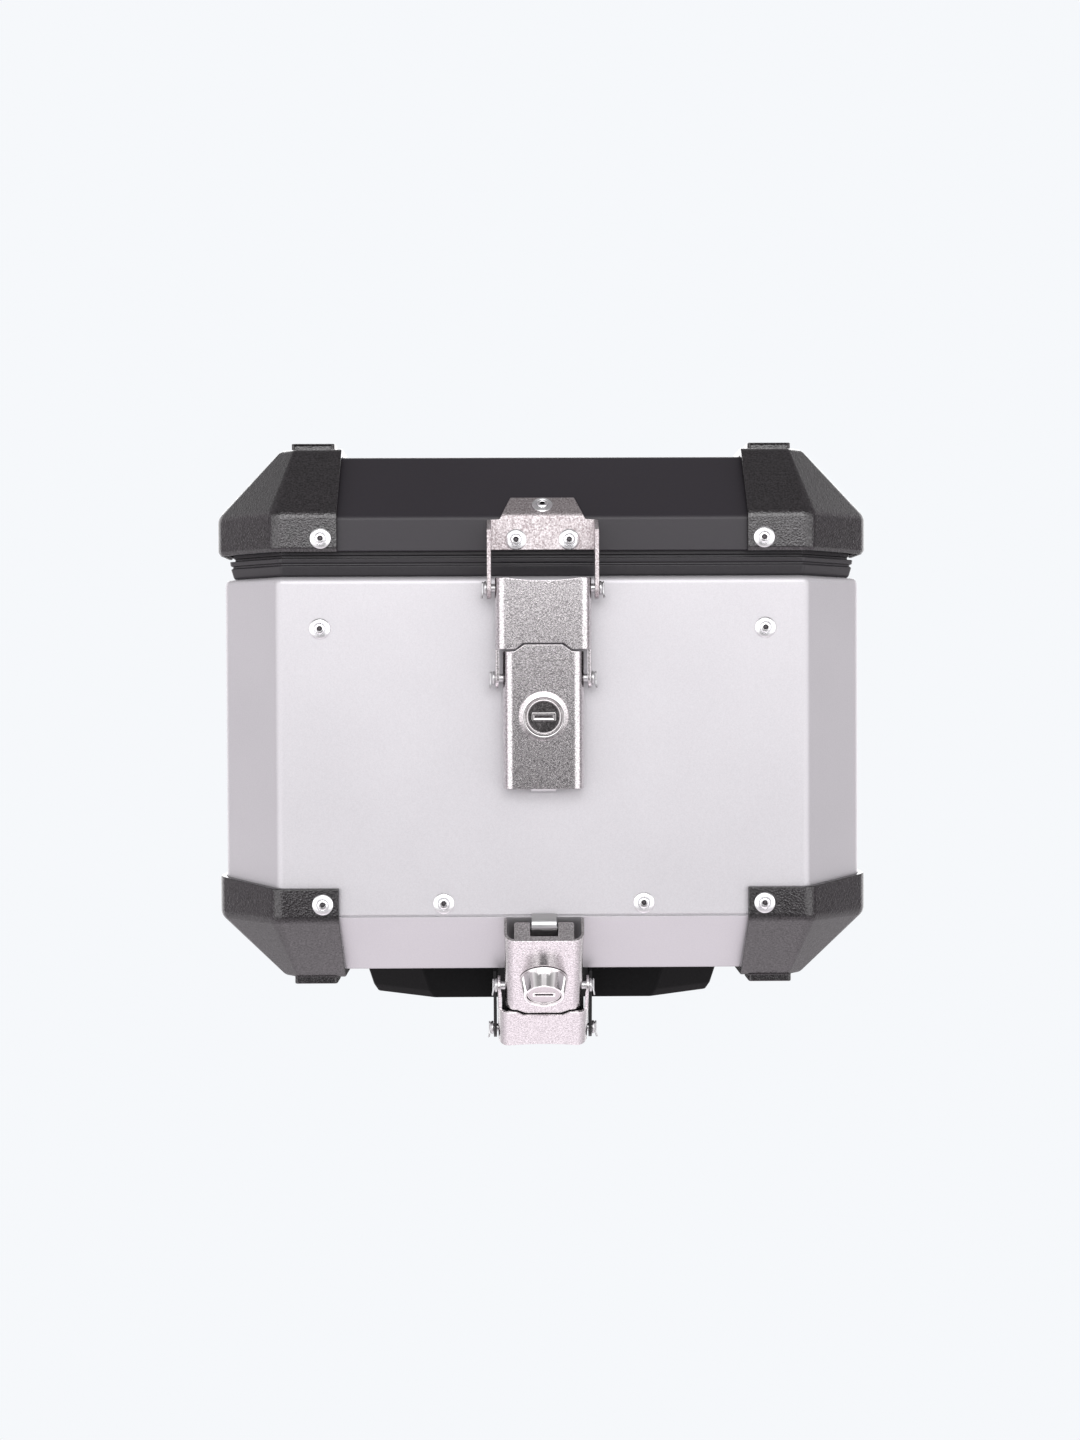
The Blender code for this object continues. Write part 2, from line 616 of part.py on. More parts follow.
def lower_latch_matrix():
    """The lower latch lies along the pan's front slope, turned over so that its link is at the bottom."""
    start = Vector((0, -SHELL_HALF_D + GAP, PAN_SLOPE_TOP_Z))
    slope = (Vector((0, -PAN_BOTTOM_HALF_D, PAN_BOTTOM_Z)) - start).normalized()
    w_axis = Vector((0, slope.z, -slope.y))
    return latch_matrix(Vector((-1, 0, 0)), slope, w_axis, start + slope * (LOWER_START - LEVER_END_V))


def latch_places(matrix):
    """place() functions for outlines in the three planes of a latch frame."""
    side = lambda v, w, u: matrix @ Vector((u, v, w))
    face = lambda u, v, w: matrix @ Vector((u, v, w))
    section = lambda u, w, v: matrix @ Vector((u, v, w))
    return side, face, section


def across_latch(matrix, v0):
    """place() for turned pieces whose axis crosses the latch through the pivot at v0."""
    side = latch_places(matrix)[0]
    return lambda a, b, c: side(v0 + a, PIVOT_W + b, c)


def channel_section(half_u, low_w, top):
    """U section with its open side towards the case."""
    bend_u, bend_w = half_u - LATCH_BEND, top - LATCH_BEND
    inner_r = LATCH_BEND - LATCH_SHEET
    outer = [(half_u, low_w)] + arc((bend_u, bend_w), LATCH_BEND, 0, 90, ARC_STEPS)
    outer += arc((-bend_u, bend_w), LATCH_BEND, 90, 180, ARC_STEPS) + [(-half_u, low_w)]
    inner = [(-half_u + LATCH_SHEET, low_w)] + arc((-bend_u, bend_w), inner_r, 180, 90, ARC_STEPS)
    inner += arc((bend_u, bend_w), inner_r, 90, 0, ARC_STEPS) + [(half_u - LATCH_SHEET, low_w)]
    return outer + inner


def trapezoid(low_v, high_v, half_low, half_high):
    return [(-half_low, low_v), (half_low, low_v), (half_high, high_v), (-half_high, high_v)]


def build_link(name, matrix, frame, material):
    """Wide channel with a leg each side: one end turns on the bracket, the other carries the lever."""
    side, face, section = latch_places(matrix)
    channel = prism(channel_section(LINK_HALF_U, 0.002, LATCH_FACE_W), -0.010, LINK_END_V, section)
    obj = add_piece(name, channel, material, frame)
    silhouette = arc((0, PIVOT_W), EYE_R, 90, 270, 6) + arc((LINK_PIVOT_V, PIVOT_W), EYE_R, -90, 0, 3)
    silhouette += [(LINK_END_V, LATCH_FACE_W + 0.001), (LINK_EDGE_V, LATCH_FACE_W + 0.001)]
    silhouette += [(LINK_EDGE_V, PIVOT_W + EYE_R)]
    combine(obj, prism(silhouette, -0.04, 0.04, side), "INTERSECT")
    notch = trapezoid(LINK_EDGE_V - 0.001, NOTCH_V, *NOTCH_HALF_U)
    reach = LINK_HALF_U - LATCH_BEND
    shares = (-1, -0.6, -0.2, 0.2, 0.6, 1)
    hollow = [(reach * s, LINK_END_V + 0.0001 - LINK_DIP * (1 - s * s)) for s in shares]
    hollow += [(reach, LINK_END_V + 0.004), (-reach, LINK_END_V + 0.004)]
    low, high = LATCH_FACE_W - 0.006, LATCH_FACE_W + 0.002
    combine(obj, merged(prism(notch, low, high, face), prism(hollow, low, high, face)), "DIFFERENCE")
    hole_r = LATCH_PIN_R + GAP
    holes = [rod(hole_r, -0.04, 0.04, 12, across_latch(matrix, v)) for v in (0, LINK_PIVOT_V)]
    return combine(obj, merged(*holes), "DIFFERENCE")


def build_lever(name, matrix, frame, material):
    """Narrow channel with the lock. A tab fills the link's notch, and the end plate has the tongue's slot."""
    side, face, section = latch_places(matrix)
    channel = prism(channel_section(LEVER_HALF_U, 0.0015, LEVER_FACE_W), LEVER_END_V, LEVER_TAB_V, section)
    obj = add_piece(name, channel, material, frame)
    plate_v = LEVER_END_V + 0.0030
    plate = [(-0.0185, 0.0025), (0.0185, 0.0025), (0.0185, 0.0170), (-0.0185, 0.0170)]
    combine(obj, prism(plate, plate_v, plate_v + 0.0015, section), "UNION")
    slot = [(-0.0083, 0.0), (0.0083, 0.0), (0.0083, 0.0125), (-0.0083, 0.0125)]
    combine(obj, prism(slot, plate_v - 0.001, plate_v + 0.0025, section), "DIFFERENCE")
    claw = [(0.0080, 0.0081), (0.0100, 0.0081), (0.0100, 0.0170), (0.0080, 0.0170)]
    combine(obj, prism(claw, -CATCH_HALF_U + 0.001, CATCH_HALF_U - 0.001, side), "UNION")
    top_w = LEVER_FACE_W + 0.001
    silhouette = [(LEVER_END_V - 0.001, 0.0015), (-0.004, 0.0015)]
    silhouette += arc((0, PIVOT_W), EYE_R, -60, 10, 4) + [(0.0078, 0.0078), (0.0102, 0.0078)]
    silhouette += [(LEVER_TAB_V + 0.001, 0.0140), (LEVER_TAB_V + 0.001, top_w), (LEVER_END_V - 0.001, top_w)]
    combine(obj, prism(silhouette, -0.04, 0.04, side), "INTERSECT")
    wide = LEVER_HALF_U + 0.001
    shoulder, tip = LEVER_TAB_HALF_U
    tab = [(-wide, LEVER_END_V - 0.001), (wide, LEVER_END_V - 0.001), (wide, LEVER_EDGE_V)]
    tab += [(shoulder, LEVER_EDGE_V), (tip, LEVER_TAB_V), (-tip, LEVER_TAB_V), (-shoulder, LEVER_EDGE_V)]
    tab += [(-wide, LEVER_EDGE_V)]
    combine(obj, prism(tab, 0.0, 0.03, face), "INTERSECT")
    pin_hole = rod(LATCH_PIN_R + GAP, -0.04, 0.04, 12, across_latch(matrix, 0))
    lock_hole = rod(LOCK_BARREL_R + GAP, 0.014, 0.024, 18, lambda a, b, c: face(a, LOCK_V + b, c))
    return combine(obj, merged(pin_hole, lock_hole), "DIFFERENCE")


def build_latch_pin(name, matrix, frame, material, v, reach):
    """Shaft across the latch with a riveted head outside each wall."""
    head_r, head = 0.0042, 0.0020
    profile = [(0, -reach - head), (head_r - 0.001, -reach - head), (head_r, -reach - head + 0.001),
               (head_r, -reach), (LATCH_PIN_R, -reach), (LATCH_PIN_R, reach), (head_r, reach),
               (head_r, reach + head - 0.001), (head_r - 0.001, reach + head), (0, reach + head)]
    return add_piece(name, lathe(profile, 12, across_latch(matrix, v)), material, frame)


def build_lock(prefix, matrix, lever_frame, plug_frame, chrome, steel, plug_material):
    """Key lock in the lever: cone-faced barrel and its nut stay still, the plug turns with the cam."""
    face = latch_places(matrix)[1]
    place = lambda a, b, c: face(a, LOCK_V + b, c)
    seat = LEVER_FACE_W + GAP
    top = LATCH_FACE_W + GAP + LOCK_BEZEL_H
    plug_front = top - 0.0012
    barrel_end = 0.0068
    bore = LOCK_PLUG_R + 0.0002
    throat = 0.0070
    barrel = [(throat, barrel_end), (LOCK_BARREL_R, barrel_end), (LOCK_BARREL_R, seat),
              (LOCK_BEZEL_R[0], seat), (LOCK_BEZEL_R[0], seat + 0.0012), (LOCK_BEZEL_R[1], top - 0.0006),
              (LOCK_BEZEL_R[1] - 0.0006, top), (bore + 0.0006, top), (bore, top - 0.0006),
              (bore, top - 0.0050), (throat, top - 0.0050)]
    add_piece(f"{prefix}_lock_barrel", closed_lathe(barrel, 18, place), chrome, lever_frame)
    nut_r = LOCK_BARREL_R + GAP
    nut = [(nut_r, 0.0124), (nut_r + 0.0025, 0.0124), (nut_r + 0.0025, 0.0158), (nut_r, 0.0158)]
    add_piece(f"{prefix}_lock_nut", closed_lathe(nut, 12, place), steel, lever_frame)
    plug_r = LOCK_PLUG_R - 0.0001
    plug = [(0, barrel_end - 0.0004), (0.0030, barrel_end - 0.0004), (0.0030, barrel_end + 0.0003),
            (throat - GAP, barrel_end + 0.0003), (throat - GAP, top - 0.0047), (plug_r, top - 0.0047),
            (plug_r, plug_front), (0, plug_front)]
    plug_obj = add_piece(f"{prefix}_lock_plug", lathe(plug, 16, place), plug_material, plug_frame)
    keyway = [(-0.0055, -0.0010), (0.0055, -0.0010), (0.0055, 0.0010), (-0.0055, 0.0010)]
    combine(plug_obj, prism(keyway, plug_front - 0.0035, plug_front + 0.001, place), "DIFFERENCE")
    cam_w = (0.0043, barrel_end - 0.0007)
    cam = rounded([(-0.0045, -0.0045), (0.0160, -0.0030), (0.0160, 0.0030), (-0.0045, 0.0045)], 0.002, 2)
    return add_piece(f"{prefix}_lock_cam", prism(cam, cam_w[0], cam_w[1], place), steel, plug_frame)


def build_catch(name, matrix, tilt, frame, material):
    """Folded strip on the case: a lip for the lever's claw at one end, a long tongue for the cam."""
    side = latch_places(matrix)[0]
    foot = lambda v: GAP / math.cos(tilt) - (v - LEVER_END_V) * math.tan(tilt)
    sheet = 0.002
    tongue_v = LEVER_END_V - 0.0012
    base = [(tongue_v - sheet, foot(tongue_v - sheet)), (0.0165, foot(0.0165)),
            (0.0165, 0.0075), (0.0125, 0.0075), (0.0125, 0.0060), (0.0145, 0.0060),
            (0.0145, foot(0.0145) + sheet), (tongue_v - sheet, foot(tongue_v - sheet) + sheet)]
    obj = add_piece(name, prism(base, -CATCH_HALF_U, CATCH_HALF_U, side), material, frame)
    tongue = [(tongue_v - sheet, foot(tongue_v) + 0.0005), (tongue_v, foot(tongue_v) + 0.0005),
              (tongue_v, TONGUE_W), (-0.0345, TONGUE_W), (-0.0345, TONGUE_W + sheet),
              (tongue_v - sheet, TONGUE_W + sheet)]
    return combine(obj, prism(tongue, -TONGUE_HALF_U, TONGUE_HALF_U, side), "UNION")


def build_lid_bracket(matrix, frame, material):
    """Keeper on the lid: face on the skirt, trapezoid on the slope, and two legs down to the link's pivot."""
    sheet = BRACKET_SHEET
    low_y = -(LID_HALF_D + GAP)
    half = BRACKET_HALF_U
    run = BRACKET_FLAP * math.sqrt(0.5)
    slope_shift = sheet * math.tan(math.radians(22.5))
    bend_z = SKIRT_TOP_Z - GAP * 0.4
    plate = [(low_y, SKIRT_BOTTOM_Z + 0.0002), (low_y, bend_z), (low_y + run, bend_z + run),
             (low_y + run - sheet * math.sqrt(0.5), bend_z + run + sheet * math.sqrt(0.5)),
             (low_y - sheet, bend_z + slope_shift), (low_y - sheet, SKIRT_BOTTOM_Z + 0.0002)]
    obj = add_piece("lid_latch_bracket", prism(plate, -half, half, across_x), material, frame)
    shoulder_z, top_z = bend_z - 0.0016, bend_z + run + 0.004
    flare = [(-half - 0.001, 0.27), (half + 0.001, 0.27), (half + 0.001, shoulder_z - 0.0004),
             (0.0256, shoulder_z), (0.0180, top_z), (-0.0180, top_z), (-0.0256, shoulder_z),
             (-half - 0.001, shoulder_z - 0.0004)]
    combine(obj, prism(flare, -0.21, -0.16, lambda a, b, c: Vector((a, c, b))), "INTERSECT")
    pivot = matrix @ Vector((0, LINK_PIVOT_V, PIVOT_W))
    eye = arc((pivot.y, pivot.z), EYE_R, 180, 360, 6)
    leg = [(low_y, bend_z - 0.0024), (low_y - 0.006, bend_z - 0.0024), (pivot.y - EYE_R, bend_z - 0.0090)]
    leg += eye + [(pivot.y + EYE_R, SKIRT_BOTTOM_Z - 0.004), (low_y, SKIRT_BOTTOM_Z + 0.0010)]
    for sx in (-1, 1):
        xs = sorted((sx * (half - 0.0002), sx * (half + sheet)))
        combine(obj, prism(leg, xs[0], xs[1], across_x), "UNION")
    hole = rod(LATCH_PIN_R + GAP, -0.04, 0.04, 12, lambda a, b, c: Vector((c, pivot.y + a, pivot.z + b)))
    combine(obj, hole, "DIFFERENCE")
    return drill(obj, rivet_names("bracket") + ["rivet_bracket_top"])


# ---- Base plate --------------------------------------------------------------------------

def base_ring(size, z, inset=0.0):
    """One level of the tray: size 0 is its underside, 1 the top of the lip, 2 the rim."""
    sizes = grown(BASE_HALF_W[size], BASE_HALF_D[size], 0, -inset)
    return outline(sizes[0], sizes[1], BASE_CHAMFER, 0.002, BASE_CENTRE_Y), z


def build_base_plate(frame, material):
    """Moulded tray that stays on the rack, with four slots for the rack's bolts."""
    rings = [base_ring(0, 0.0), base_ring(1, BASE_LIP_Z), base_ring(2, BASE_TOP_Z),
             base_ring(2, BASE_TOP_Z, BASE_WALL), base_ring(1, BASE_FLOOR_Z, BASE_WALL)]
    obj = add_piece("base_plate", ring_loft(rings), material, frame)
    width, length = BOLT_SLOT
    slots = []
    for x, y in BOLT_SLOT_PLACES:
        ends = arc((x, y + (length - width) / 2), width / 2, 0, 180, 6)
        ends += arc((x, y - (length - width) / 2), width / 2, 180, 360, 6)
        slots.append(prism(ends, -0.01, 0.02, upright))
    return combine(obj, merged(*slots), "DIFFERENCE")


def build_base_hook(frame, material):
    """Steel hook that the dock plate's tongue goes to."""
    side = [(0.0800, BASE_FLOOR_Z + GAP), (0.1000, BASE_FLOOR_Z + GAP), (0.1000, BASE_FLOOR_Z + GAP + 0.002),
            (0.0900, BASE_FLOOR_Z + GAP + 0.002), (0.0900, 0.0165), (0.0800, 0.0150), (0.0800, 0.0128),
            (0.0876, 0.0136), (0.0876, BASE_FLOOR_Z + GAP + 0.002), (0.0800, BASE_FLOOR_Z + GAP + 0.002)]
    return add_piece("base_hook", prism(side, -0.042, 0.042, across_x), material, frame)


def build_buffer(name, place, frame, material):
    """Rubber buffer that the case sits on."""
    low, high = BASE_FLOOR_Z + GAP, PAN_BOTTOM_Z - GAP
    profile = [(0, low), (0.0095, low), (0.0095, high - 0.001), (0.0085, high), (0, high)]
    centre = axis_place((*place, 0.0), (0, 0, 1))
    return add_piece(name, lathe(profile, 14, centre), material, frame)


def build_base_bracket(matrix, frame, material):
    """Black steel bracket on the front of the base plate: ears for the lower link, an apron between them."""
    front_y = BASE_CENTRE_Y - BASE_HALF_D[2] - GAP
    pivot = matrix @ Vector((0, LINK_PIVOT_V, PIVOT_W))
    sheet_y = (front_y - EAR_SHEET, front_y)
    reach = EAR_HALF_U + EAR_SHEET
    web = box((-reach, sheet_y[0], 0.0020), (reach, sheet_y[1], 0.0225))
    obj = add_piece("base_latch_bracket", web, material, frame)
    apron = box((-0.0262, sheet_y[0], -0.0110), (0.0262, sheet_y[1], 0.0040))
    combine(obj, apron, "UNION")
    ear = [(front_y - EAR_SHEET, 0.0210), (front_y - 0.0065, 0.0180)]
    ear += arc((pivot.y, pivot.z), EYE_R, 165, 380, 8)
    ear += [(pivot.y + 0.0070, -0.0040), (front_y + 0.0030, -0.0012), (front_y, 0.0020), (front_y, 0.0210)]
    for sx in (-1, 1):
        xs = sorted((sx * EAR_HALF_U, sx * (EAR_HALF_U + EAR_SHEET)))
        combine(obj, prism(ear, xs[0], xs[1], across_x), "UNION")
    hole = rod(LATCH_PIN_R + GAP, -0.04, 0.04, 12, lambda a, b, c: Vector((c, pivot.y + a, pivot.z + b)))
    return combine(obj, hole, "DIFFERENCE")


# ---- Assembly ----------------------------------------------------------------------------

def make_materials():
    return {
        "silver": make_material("silver_sheet", (0.72, 0.71, 0.73), 0.38, 0.85),
        "black_sheet": make_material("black_sheet", (0.020, 0.019, 0.021), 0.42, 0.0),
        "plastic": make_material("guard_plastic", (0.028, 0.027, 0.029), 0.55, 0.0),
        "rubber": make_material("seal_rubber", (0.018, 0.018, 0.019), 0.60, 0.0),
        "steel": make_material("latch_steel", (0.62, 0.60, 0.59), 0.34, 1.0),
        "chrome": make_material("lock_chrome", (0.80, 0.79, 0.79), 0.10, 1.0),
        "plug": make_material("plug_metal", (0.30, 0.28, 0.28), 0.22, 1.0),
        "rivet": make_material("rivet_aluminium", (0.86, 0.86, 0.87), 0.28, 1.0),
        "black_steel": make_material("black_steel", (0.015, 0.015, 0.016), 0.35, 0.2),
        "webbing": make_material("strap_webbing", (0.03, 0.03, 0.032), 0.85, 0.0),
    }


def build_latch(prefix, matrix, ground, pin_reach, materials):
    """Link, lever and lock, each moving group on an empty at its own pivot. Returns nothing."""
    turned = matrix.copy()
    turned.translation = matrix @ Vector((0, LINK_PIVOT_V, PIVOT_W))
    link_frame = add_frame(f"{prefix}_link_frame", turned, ground)
    turned.translation = matrix @ Vector((0, 0, PIVOT_W))
    lever_frame = add_frame(f"{prefix}_lever_frame", turned, link_frame)
    turned.translation = matrix @ Vector((0, LOCK_V, LATCH_FACE_W))
    plug_frame = add_frame(f"{prefix}_plug_frame", turned, lever_frame)
    steel = materials["steel"]
    build_link(f"{prefix}_latch_link", matrix, link_frame, steel)
    build_latch_pin(f"{prefix}_link_pin", matrix, link_frame, materials["chrome"], LINK_PIVOT_V, pin_reach)
    build_latch_pin(f"{prefix}_lever_pin", matrix, link_frame, materials["chrome"], 0.0, LINK_HALF_U + GAP)
    build_lever(f"{prefix}_latch_lever", matrix, lever_frame, steel)
    build_lock(prefix, matrix, lever_frame, plug_frame, materials["chrome"], steel, materials["plug"])


def build_guards(case_frame, lid_frame, material):
    for depth, sy in (("front", -1), ("rear", 1)):
        for side, sx in (("left", -1), ("right", 1)):
            front = sy < 0
            build_base_guard(f"base_guard_{depth}_{side}", sx, sy, case_frame, material,
                             [f"rivet_base_guard_{side}"] if front else [])
            build_lid_guard(f"lid_guard_{depth}_{side}", sx, sy, lid_frame, material,
                            [f"rivet_lid_guard_{side}"] if front else [])


def build_rivets(case_frame, lid_frame, material):
    for name, (point, axis, grip) in rivet_points().items():
        frame = lid_frame if "lid_guard" in name or "bracket" in name else case_frame
        add_piece(name, rivet(point, axis, grip), material, frame)


def main():
    clear_scene()
    materials = make_materials()
    base_frame = add_frame("base_frame", Matrix.Identity(4))
    case_frame = add_frame("case_frame", Matrix.Identity(4), base_frame)
    lid_frame = add_frame("lid_frame", Matrix.Translation(HINGE_AXIS), case_frame)
    upper, lower = upper_latch_matrix(), lower_latch_matrix()

    build_base_plate(base_frame, materials["plastic"])
    build_base_hook(base_frame, materials["black_steel"])
    for name, place in BUFFER_PLACES.items():
        build_buffer(f"buffer_{name}", place, base_frame, materials["rubber"])
    build_base_bracket(lower, base_frame, materials["black_steel"])

    build_body_shell(case_frame, materials["silver"])
    build_bottom_pan(case_frame, materials["silver"])
    build_rim_seal(case_frame, materials["rubber"])
    build_dock_plate(case_frame, materials["black_steel"])
    build_catch("upper_catch", upper, UPPER_TILT, case_frame, materials["steel"])
    build_catch("lower_catch", lower, 0.0, case_frame, materials["steel"])

    build_lid_shell(lid_frame, materials["black_sheet"])
    build_lid_gasket(lid_frame, materials["rubber"])
    build_lid_bracket(upper, lid_frame, materials["steel"])
    for side, sx in (("left", -1), ("right", 1)):
        build_stay_strap(f"stay_strap_{side}", sx, case_frame, materials["webbing"])
        x = sx * HINGE_X
        build_hinge_leaf(f"hinge_case_leaf_{side}", x, case_frame, materials["steel"], on_lid=False)
        build_hinge_leaf(f"hinge_lid_leaf_{side}", x, lid_frame, materials["steel"], on_lid=True)
        build_hinge_pin(f"hinge_pin_{side}", x, case_frame, materials["chrome"])

    build_guards(case_frame, lid_frame, materials["plastic"])
    build_rivets(case_frame, lid_frame, materials["rivet"])
    build_latch("upper", upper, lid_frame, BRACKET_HALF_U + BRACKET_SHEET + GAP, materials)
    build_latch("lower", lower, base_frame, EAR_HALF_U + EAR_SHEET + GAP, materials)


main()
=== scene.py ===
"""Looks of the aluminium motorcycle top case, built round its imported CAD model.

Metres, +Z up. The latch side faces -Y, and +X is to the right of someone who faces the latches.
Outer sizes and pivots come from the frame. The constants below give what a box can't: chamfers,
bend radii and sheet thicknesses, which follow the CAD model.
"""

import json
import math
from functools import partial
from itertools import product

import bmesh
import bpy
from mathutils import Matrix, Vector

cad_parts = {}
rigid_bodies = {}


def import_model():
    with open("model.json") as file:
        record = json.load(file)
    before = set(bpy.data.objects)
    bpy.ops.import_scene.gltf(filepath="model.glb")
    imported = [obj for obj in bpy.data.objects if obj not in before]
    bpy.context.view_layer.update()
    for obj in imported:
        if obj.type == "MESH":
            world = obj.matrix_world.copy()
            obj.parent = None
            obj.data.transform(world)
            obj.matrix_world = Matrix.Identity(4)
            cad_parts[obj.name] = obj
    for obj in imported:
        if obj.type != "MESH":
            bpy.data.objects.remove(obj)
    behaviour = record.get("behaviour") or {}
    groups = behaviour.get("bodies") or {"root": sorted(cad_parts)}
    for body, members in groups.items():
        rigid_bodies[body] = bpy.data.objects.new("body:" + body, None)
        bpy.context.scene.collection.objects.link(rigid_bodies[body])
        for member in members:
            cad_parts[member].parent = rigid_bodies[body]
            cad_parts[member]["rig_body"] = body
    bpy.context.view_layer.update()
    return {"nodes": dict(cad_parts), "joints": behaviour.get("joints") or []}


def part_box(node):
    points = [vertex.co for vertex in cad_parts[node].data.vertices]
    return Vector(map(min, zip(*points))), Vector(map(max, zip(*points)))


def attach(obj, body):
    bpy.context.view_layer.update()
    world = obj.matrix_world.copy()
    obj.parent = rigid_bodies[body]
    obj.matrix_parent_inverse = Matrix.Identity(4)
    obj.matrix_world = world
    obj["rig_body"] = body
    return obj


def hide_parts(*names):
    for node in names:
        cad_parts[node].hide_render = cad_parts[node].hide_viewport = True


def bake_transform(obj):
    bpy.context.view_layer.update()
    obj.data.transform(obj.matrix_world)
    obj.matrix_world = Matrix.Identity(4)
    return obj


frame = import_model()

JOINT_PLACES = {joint["name"]: Vector(joint["pos_m"]) for joint in frame["joints"] if "pos_m" in joint}
SIDES = (("left", -1), ("right", 1))
ENDS = (("front", -1), ("rear", 1))


def lowest(node):
    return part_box(node)[0]


def highest(node):
    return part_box(node)[1]


# ---- Sizes -------------------------------------------------------------------------------

SHEET = 0.0015
GAP = 0.0003
BEND_STEPS = 8            # facets in the bend of a vertical edge
FOLD_STEPS = 6            # facets in a fold between two walls
ROUND_STEPS = 48          # facets round a turned piece
WELD_REACH = 0.00001      # corners this close are one
SHARP_ANGLE = math.radians(40)
THROUGH = 0.04            # half-length of a cutter that goes through a whole latch
MARGIN = 0.001            # how far a cutter stands past what it cuts
FAR = 0.25                # outside the case in every direction
FLAT_INSET = 0.030        # where a flat floor's end cap starts, in from its edge

SHELL_HALF_W = highest("body_shell").x
SHELL_HALF_D = highest("body_shell").y
SHELL_CHAMFER = 0.0363
SHELL_BEND = 0.0075
SEAM_Z = lowest("body_shell").z
SHELL_TOP_Z = 0.2662
SHELL_FOLD = 0.0046
RIM_INSET = 0.0065
RIM_TOP_Z = highest("body_shell").z

PAN_BOTTOM_Z = lowest("bottom_pan").z
PAN_BOTTOM_HALF_W = 0.1555
PAN_BOTTOM_HALF_D = 0.1364
PAN_BOTTOM_CHAMFER = 0.005
PAN_SLOPE_TOP_Z = SEAM_Z - 0.0010
PAN_UPSTAND_TOP_Z = highest("bottom_pan").z

LID_HALF_W = highest("lid_shell").x
LID_HALF_D = highest("lid_shell").y
LID_CHAMFER = 0.0365
SKIRT_BOTTOM_Z = lowest("lid_shell").z
SKIRT_TOP_Z = 0.3018
LID_TOP_Z = highest("lid_shell").z
LID_TOP_HALF_W = 0.1558
LID_TOP_HALF_D = 0.1443
LID_TOP_CHAMFER = 0.006
LID_FOLD = 0.0022

GUARD_PROUD = 0.004
GUARD_FOLD = 0.0034
GUARD_EDGE = 0.0007
GUARD_GAP = (0.0004, 0.0007)     # off the walls, off the slopes
GUARD_START_X = 0.1228
GUARD_START_Y = 0.109
BASE_GUARD_FOLD_Z = 0.0598
BASE_GUARD_FRONT_Z = 0.0792
BASE_GUARD_SIDE_Z = highest("base_guard_front_left").z
BASE_GUARD_BOTTOM_Z = 0.0197
LID_GUARD_FOLD_Z = 0.304
LID_GUARD_TOP_Z = 0.3464
LUG_X = (0.128, 0.1546)
LUG_Y = (0.117, 0.141)
LUG_HEIGHT = highest("lid_guard_front_left").z - LID_GUARD_TOP_Z
LUG_ROOT = 0.002          # how deep a lug starts inside its guard

HINGE_X = (lowest("hinge_case_leaf_right").x + highest("hinge_case_leaf_right").x) / 2
CASE_LEAF_Y = lowest("hinge_case_leaf_left").y + 0.002
HINGE_RIVET_STEPS = (-0.014, 0.014)

RIVET_HEAD_R = 0.0062
SMALL_HEAD_R = 0.0048
# faces of a rivet's hole inside this radius take the mandrel's dark colour, which on the hole's walls is
# painted shade
MANDREL_HOLE_R = 0.00146
GUARD_RIVET_X = 0.1325
GUARD_RIVET_LID_Z = 0.2888
CASE_RIVET_LOW_Z = 0.0698
CASE_RIVET_HIGH = (0.1337, 0.2351)
PAN_RIVET_X = 0.0602
BRACKET_RIVET = (0.0159, 0.2878)

LATCH_SHEET = 0.0018
LATCH_EDGE = 0.00035      # rounding of the latch's cut edges
LINK_HALF_U = highest("upper_latch_link").x
LEVER_HALF_U = highest("upper_latch_lever").x
LATCH_FACE_W = 0.0195
LEVER_FACE_W = 0.0180
LATCH_BEND = 0.0062
PIVOT_W = 0.0095
LINK_PIVOT_V = (JOINT_PLACES["upper_link_swing"] - JOINT_PLACES["upper_lever_swing"]).length
LINK_END_V = 0.0594
LINK_EDGE_V = 0.0173
NOTCH_V = 0.0210
NOTCH_HALF_U = (0.0180, 0.0120)
LINK_DIP = 0.0018
LEVER_EDGE_V = 0.0160
LEVER_TAB_V = 0.0200
LEVER_TAB_HALF_U = (0.0170, 0.0111)
LEVER_END_V = -0.0656
EYE_R = 0.0062
LATCH_PIN_R = 0.0025
LOCK_V = -0.0220
LOCK_BEZEL_R = (0.0147, 0.0124)
LOCK_BEZEL_H = 0.0108
LOCK_BARREL_R = 0.0095
LOCK_PLUG_R = 0.0104
CATCH_SHEET = 0.002
CATCH_HALF_U = 0.015
TONGUE_HALF_U = 0.0075
TONGUE_W = 0.0076
BRACKET_HALF_U = 0.0309
BRACKET_SHEET = 0.0022
BRACKET_FLAP = 0.0151
BRACKET_RIVET_UP = 0.0071
EAR_REACH = highest("base_latch_bracket").x

BASE_CENTRE_Y = 0.005
BASE_HALF_D = (0.1045, 0.1060, 0.108)       # underside, top of the lip, rim
BASE_TOP_Z = highest("base_plate").z
BASE_LIP_Z = 0.0047
BASE_HALF_W = (0.1075, 0.1105, highest("base_plate").x)
BASE_CHAMFER = (0.038, 0.030)
BASE_WALL = 0.004
BASE_FLOOR_Z = 0.0055
BOLT_SLOT = (0.0085, 0.026)
BOLT_SLOT_PLACES = [(sx * 0.060, y) for sx in (-1, 1) for y in (-0.050, 0.060)]

STRAP_Y = (lowest("stay_strap_left").y, highest("stay_strap_left").y)
STRAP_THICKNESS = 0.0015
STRAP_WALL_X = highest("stay_strap_right").x
STRAP_INNER_X = 0.1835
STRAP_FOLD_Z = lowest("stay_strap_left").z
STRAP_ENDS_Z = (0.232, highest("stay_strap_left").z)

FLOOR_Z = -0.30
BACKDROP = (0.921, 0.939, 0.965)     # linear colour of the floor and of what lies behind
FOCAL_PIXELS = 2005.8                # focal length in pixels of the photo
IMAGE_HEIGHT = 1440


# ---- Materials ---------------------------------------------------------------------------

NOISE_REACH = (0.3, 0.7)     # a noise texture seldom leaves this range


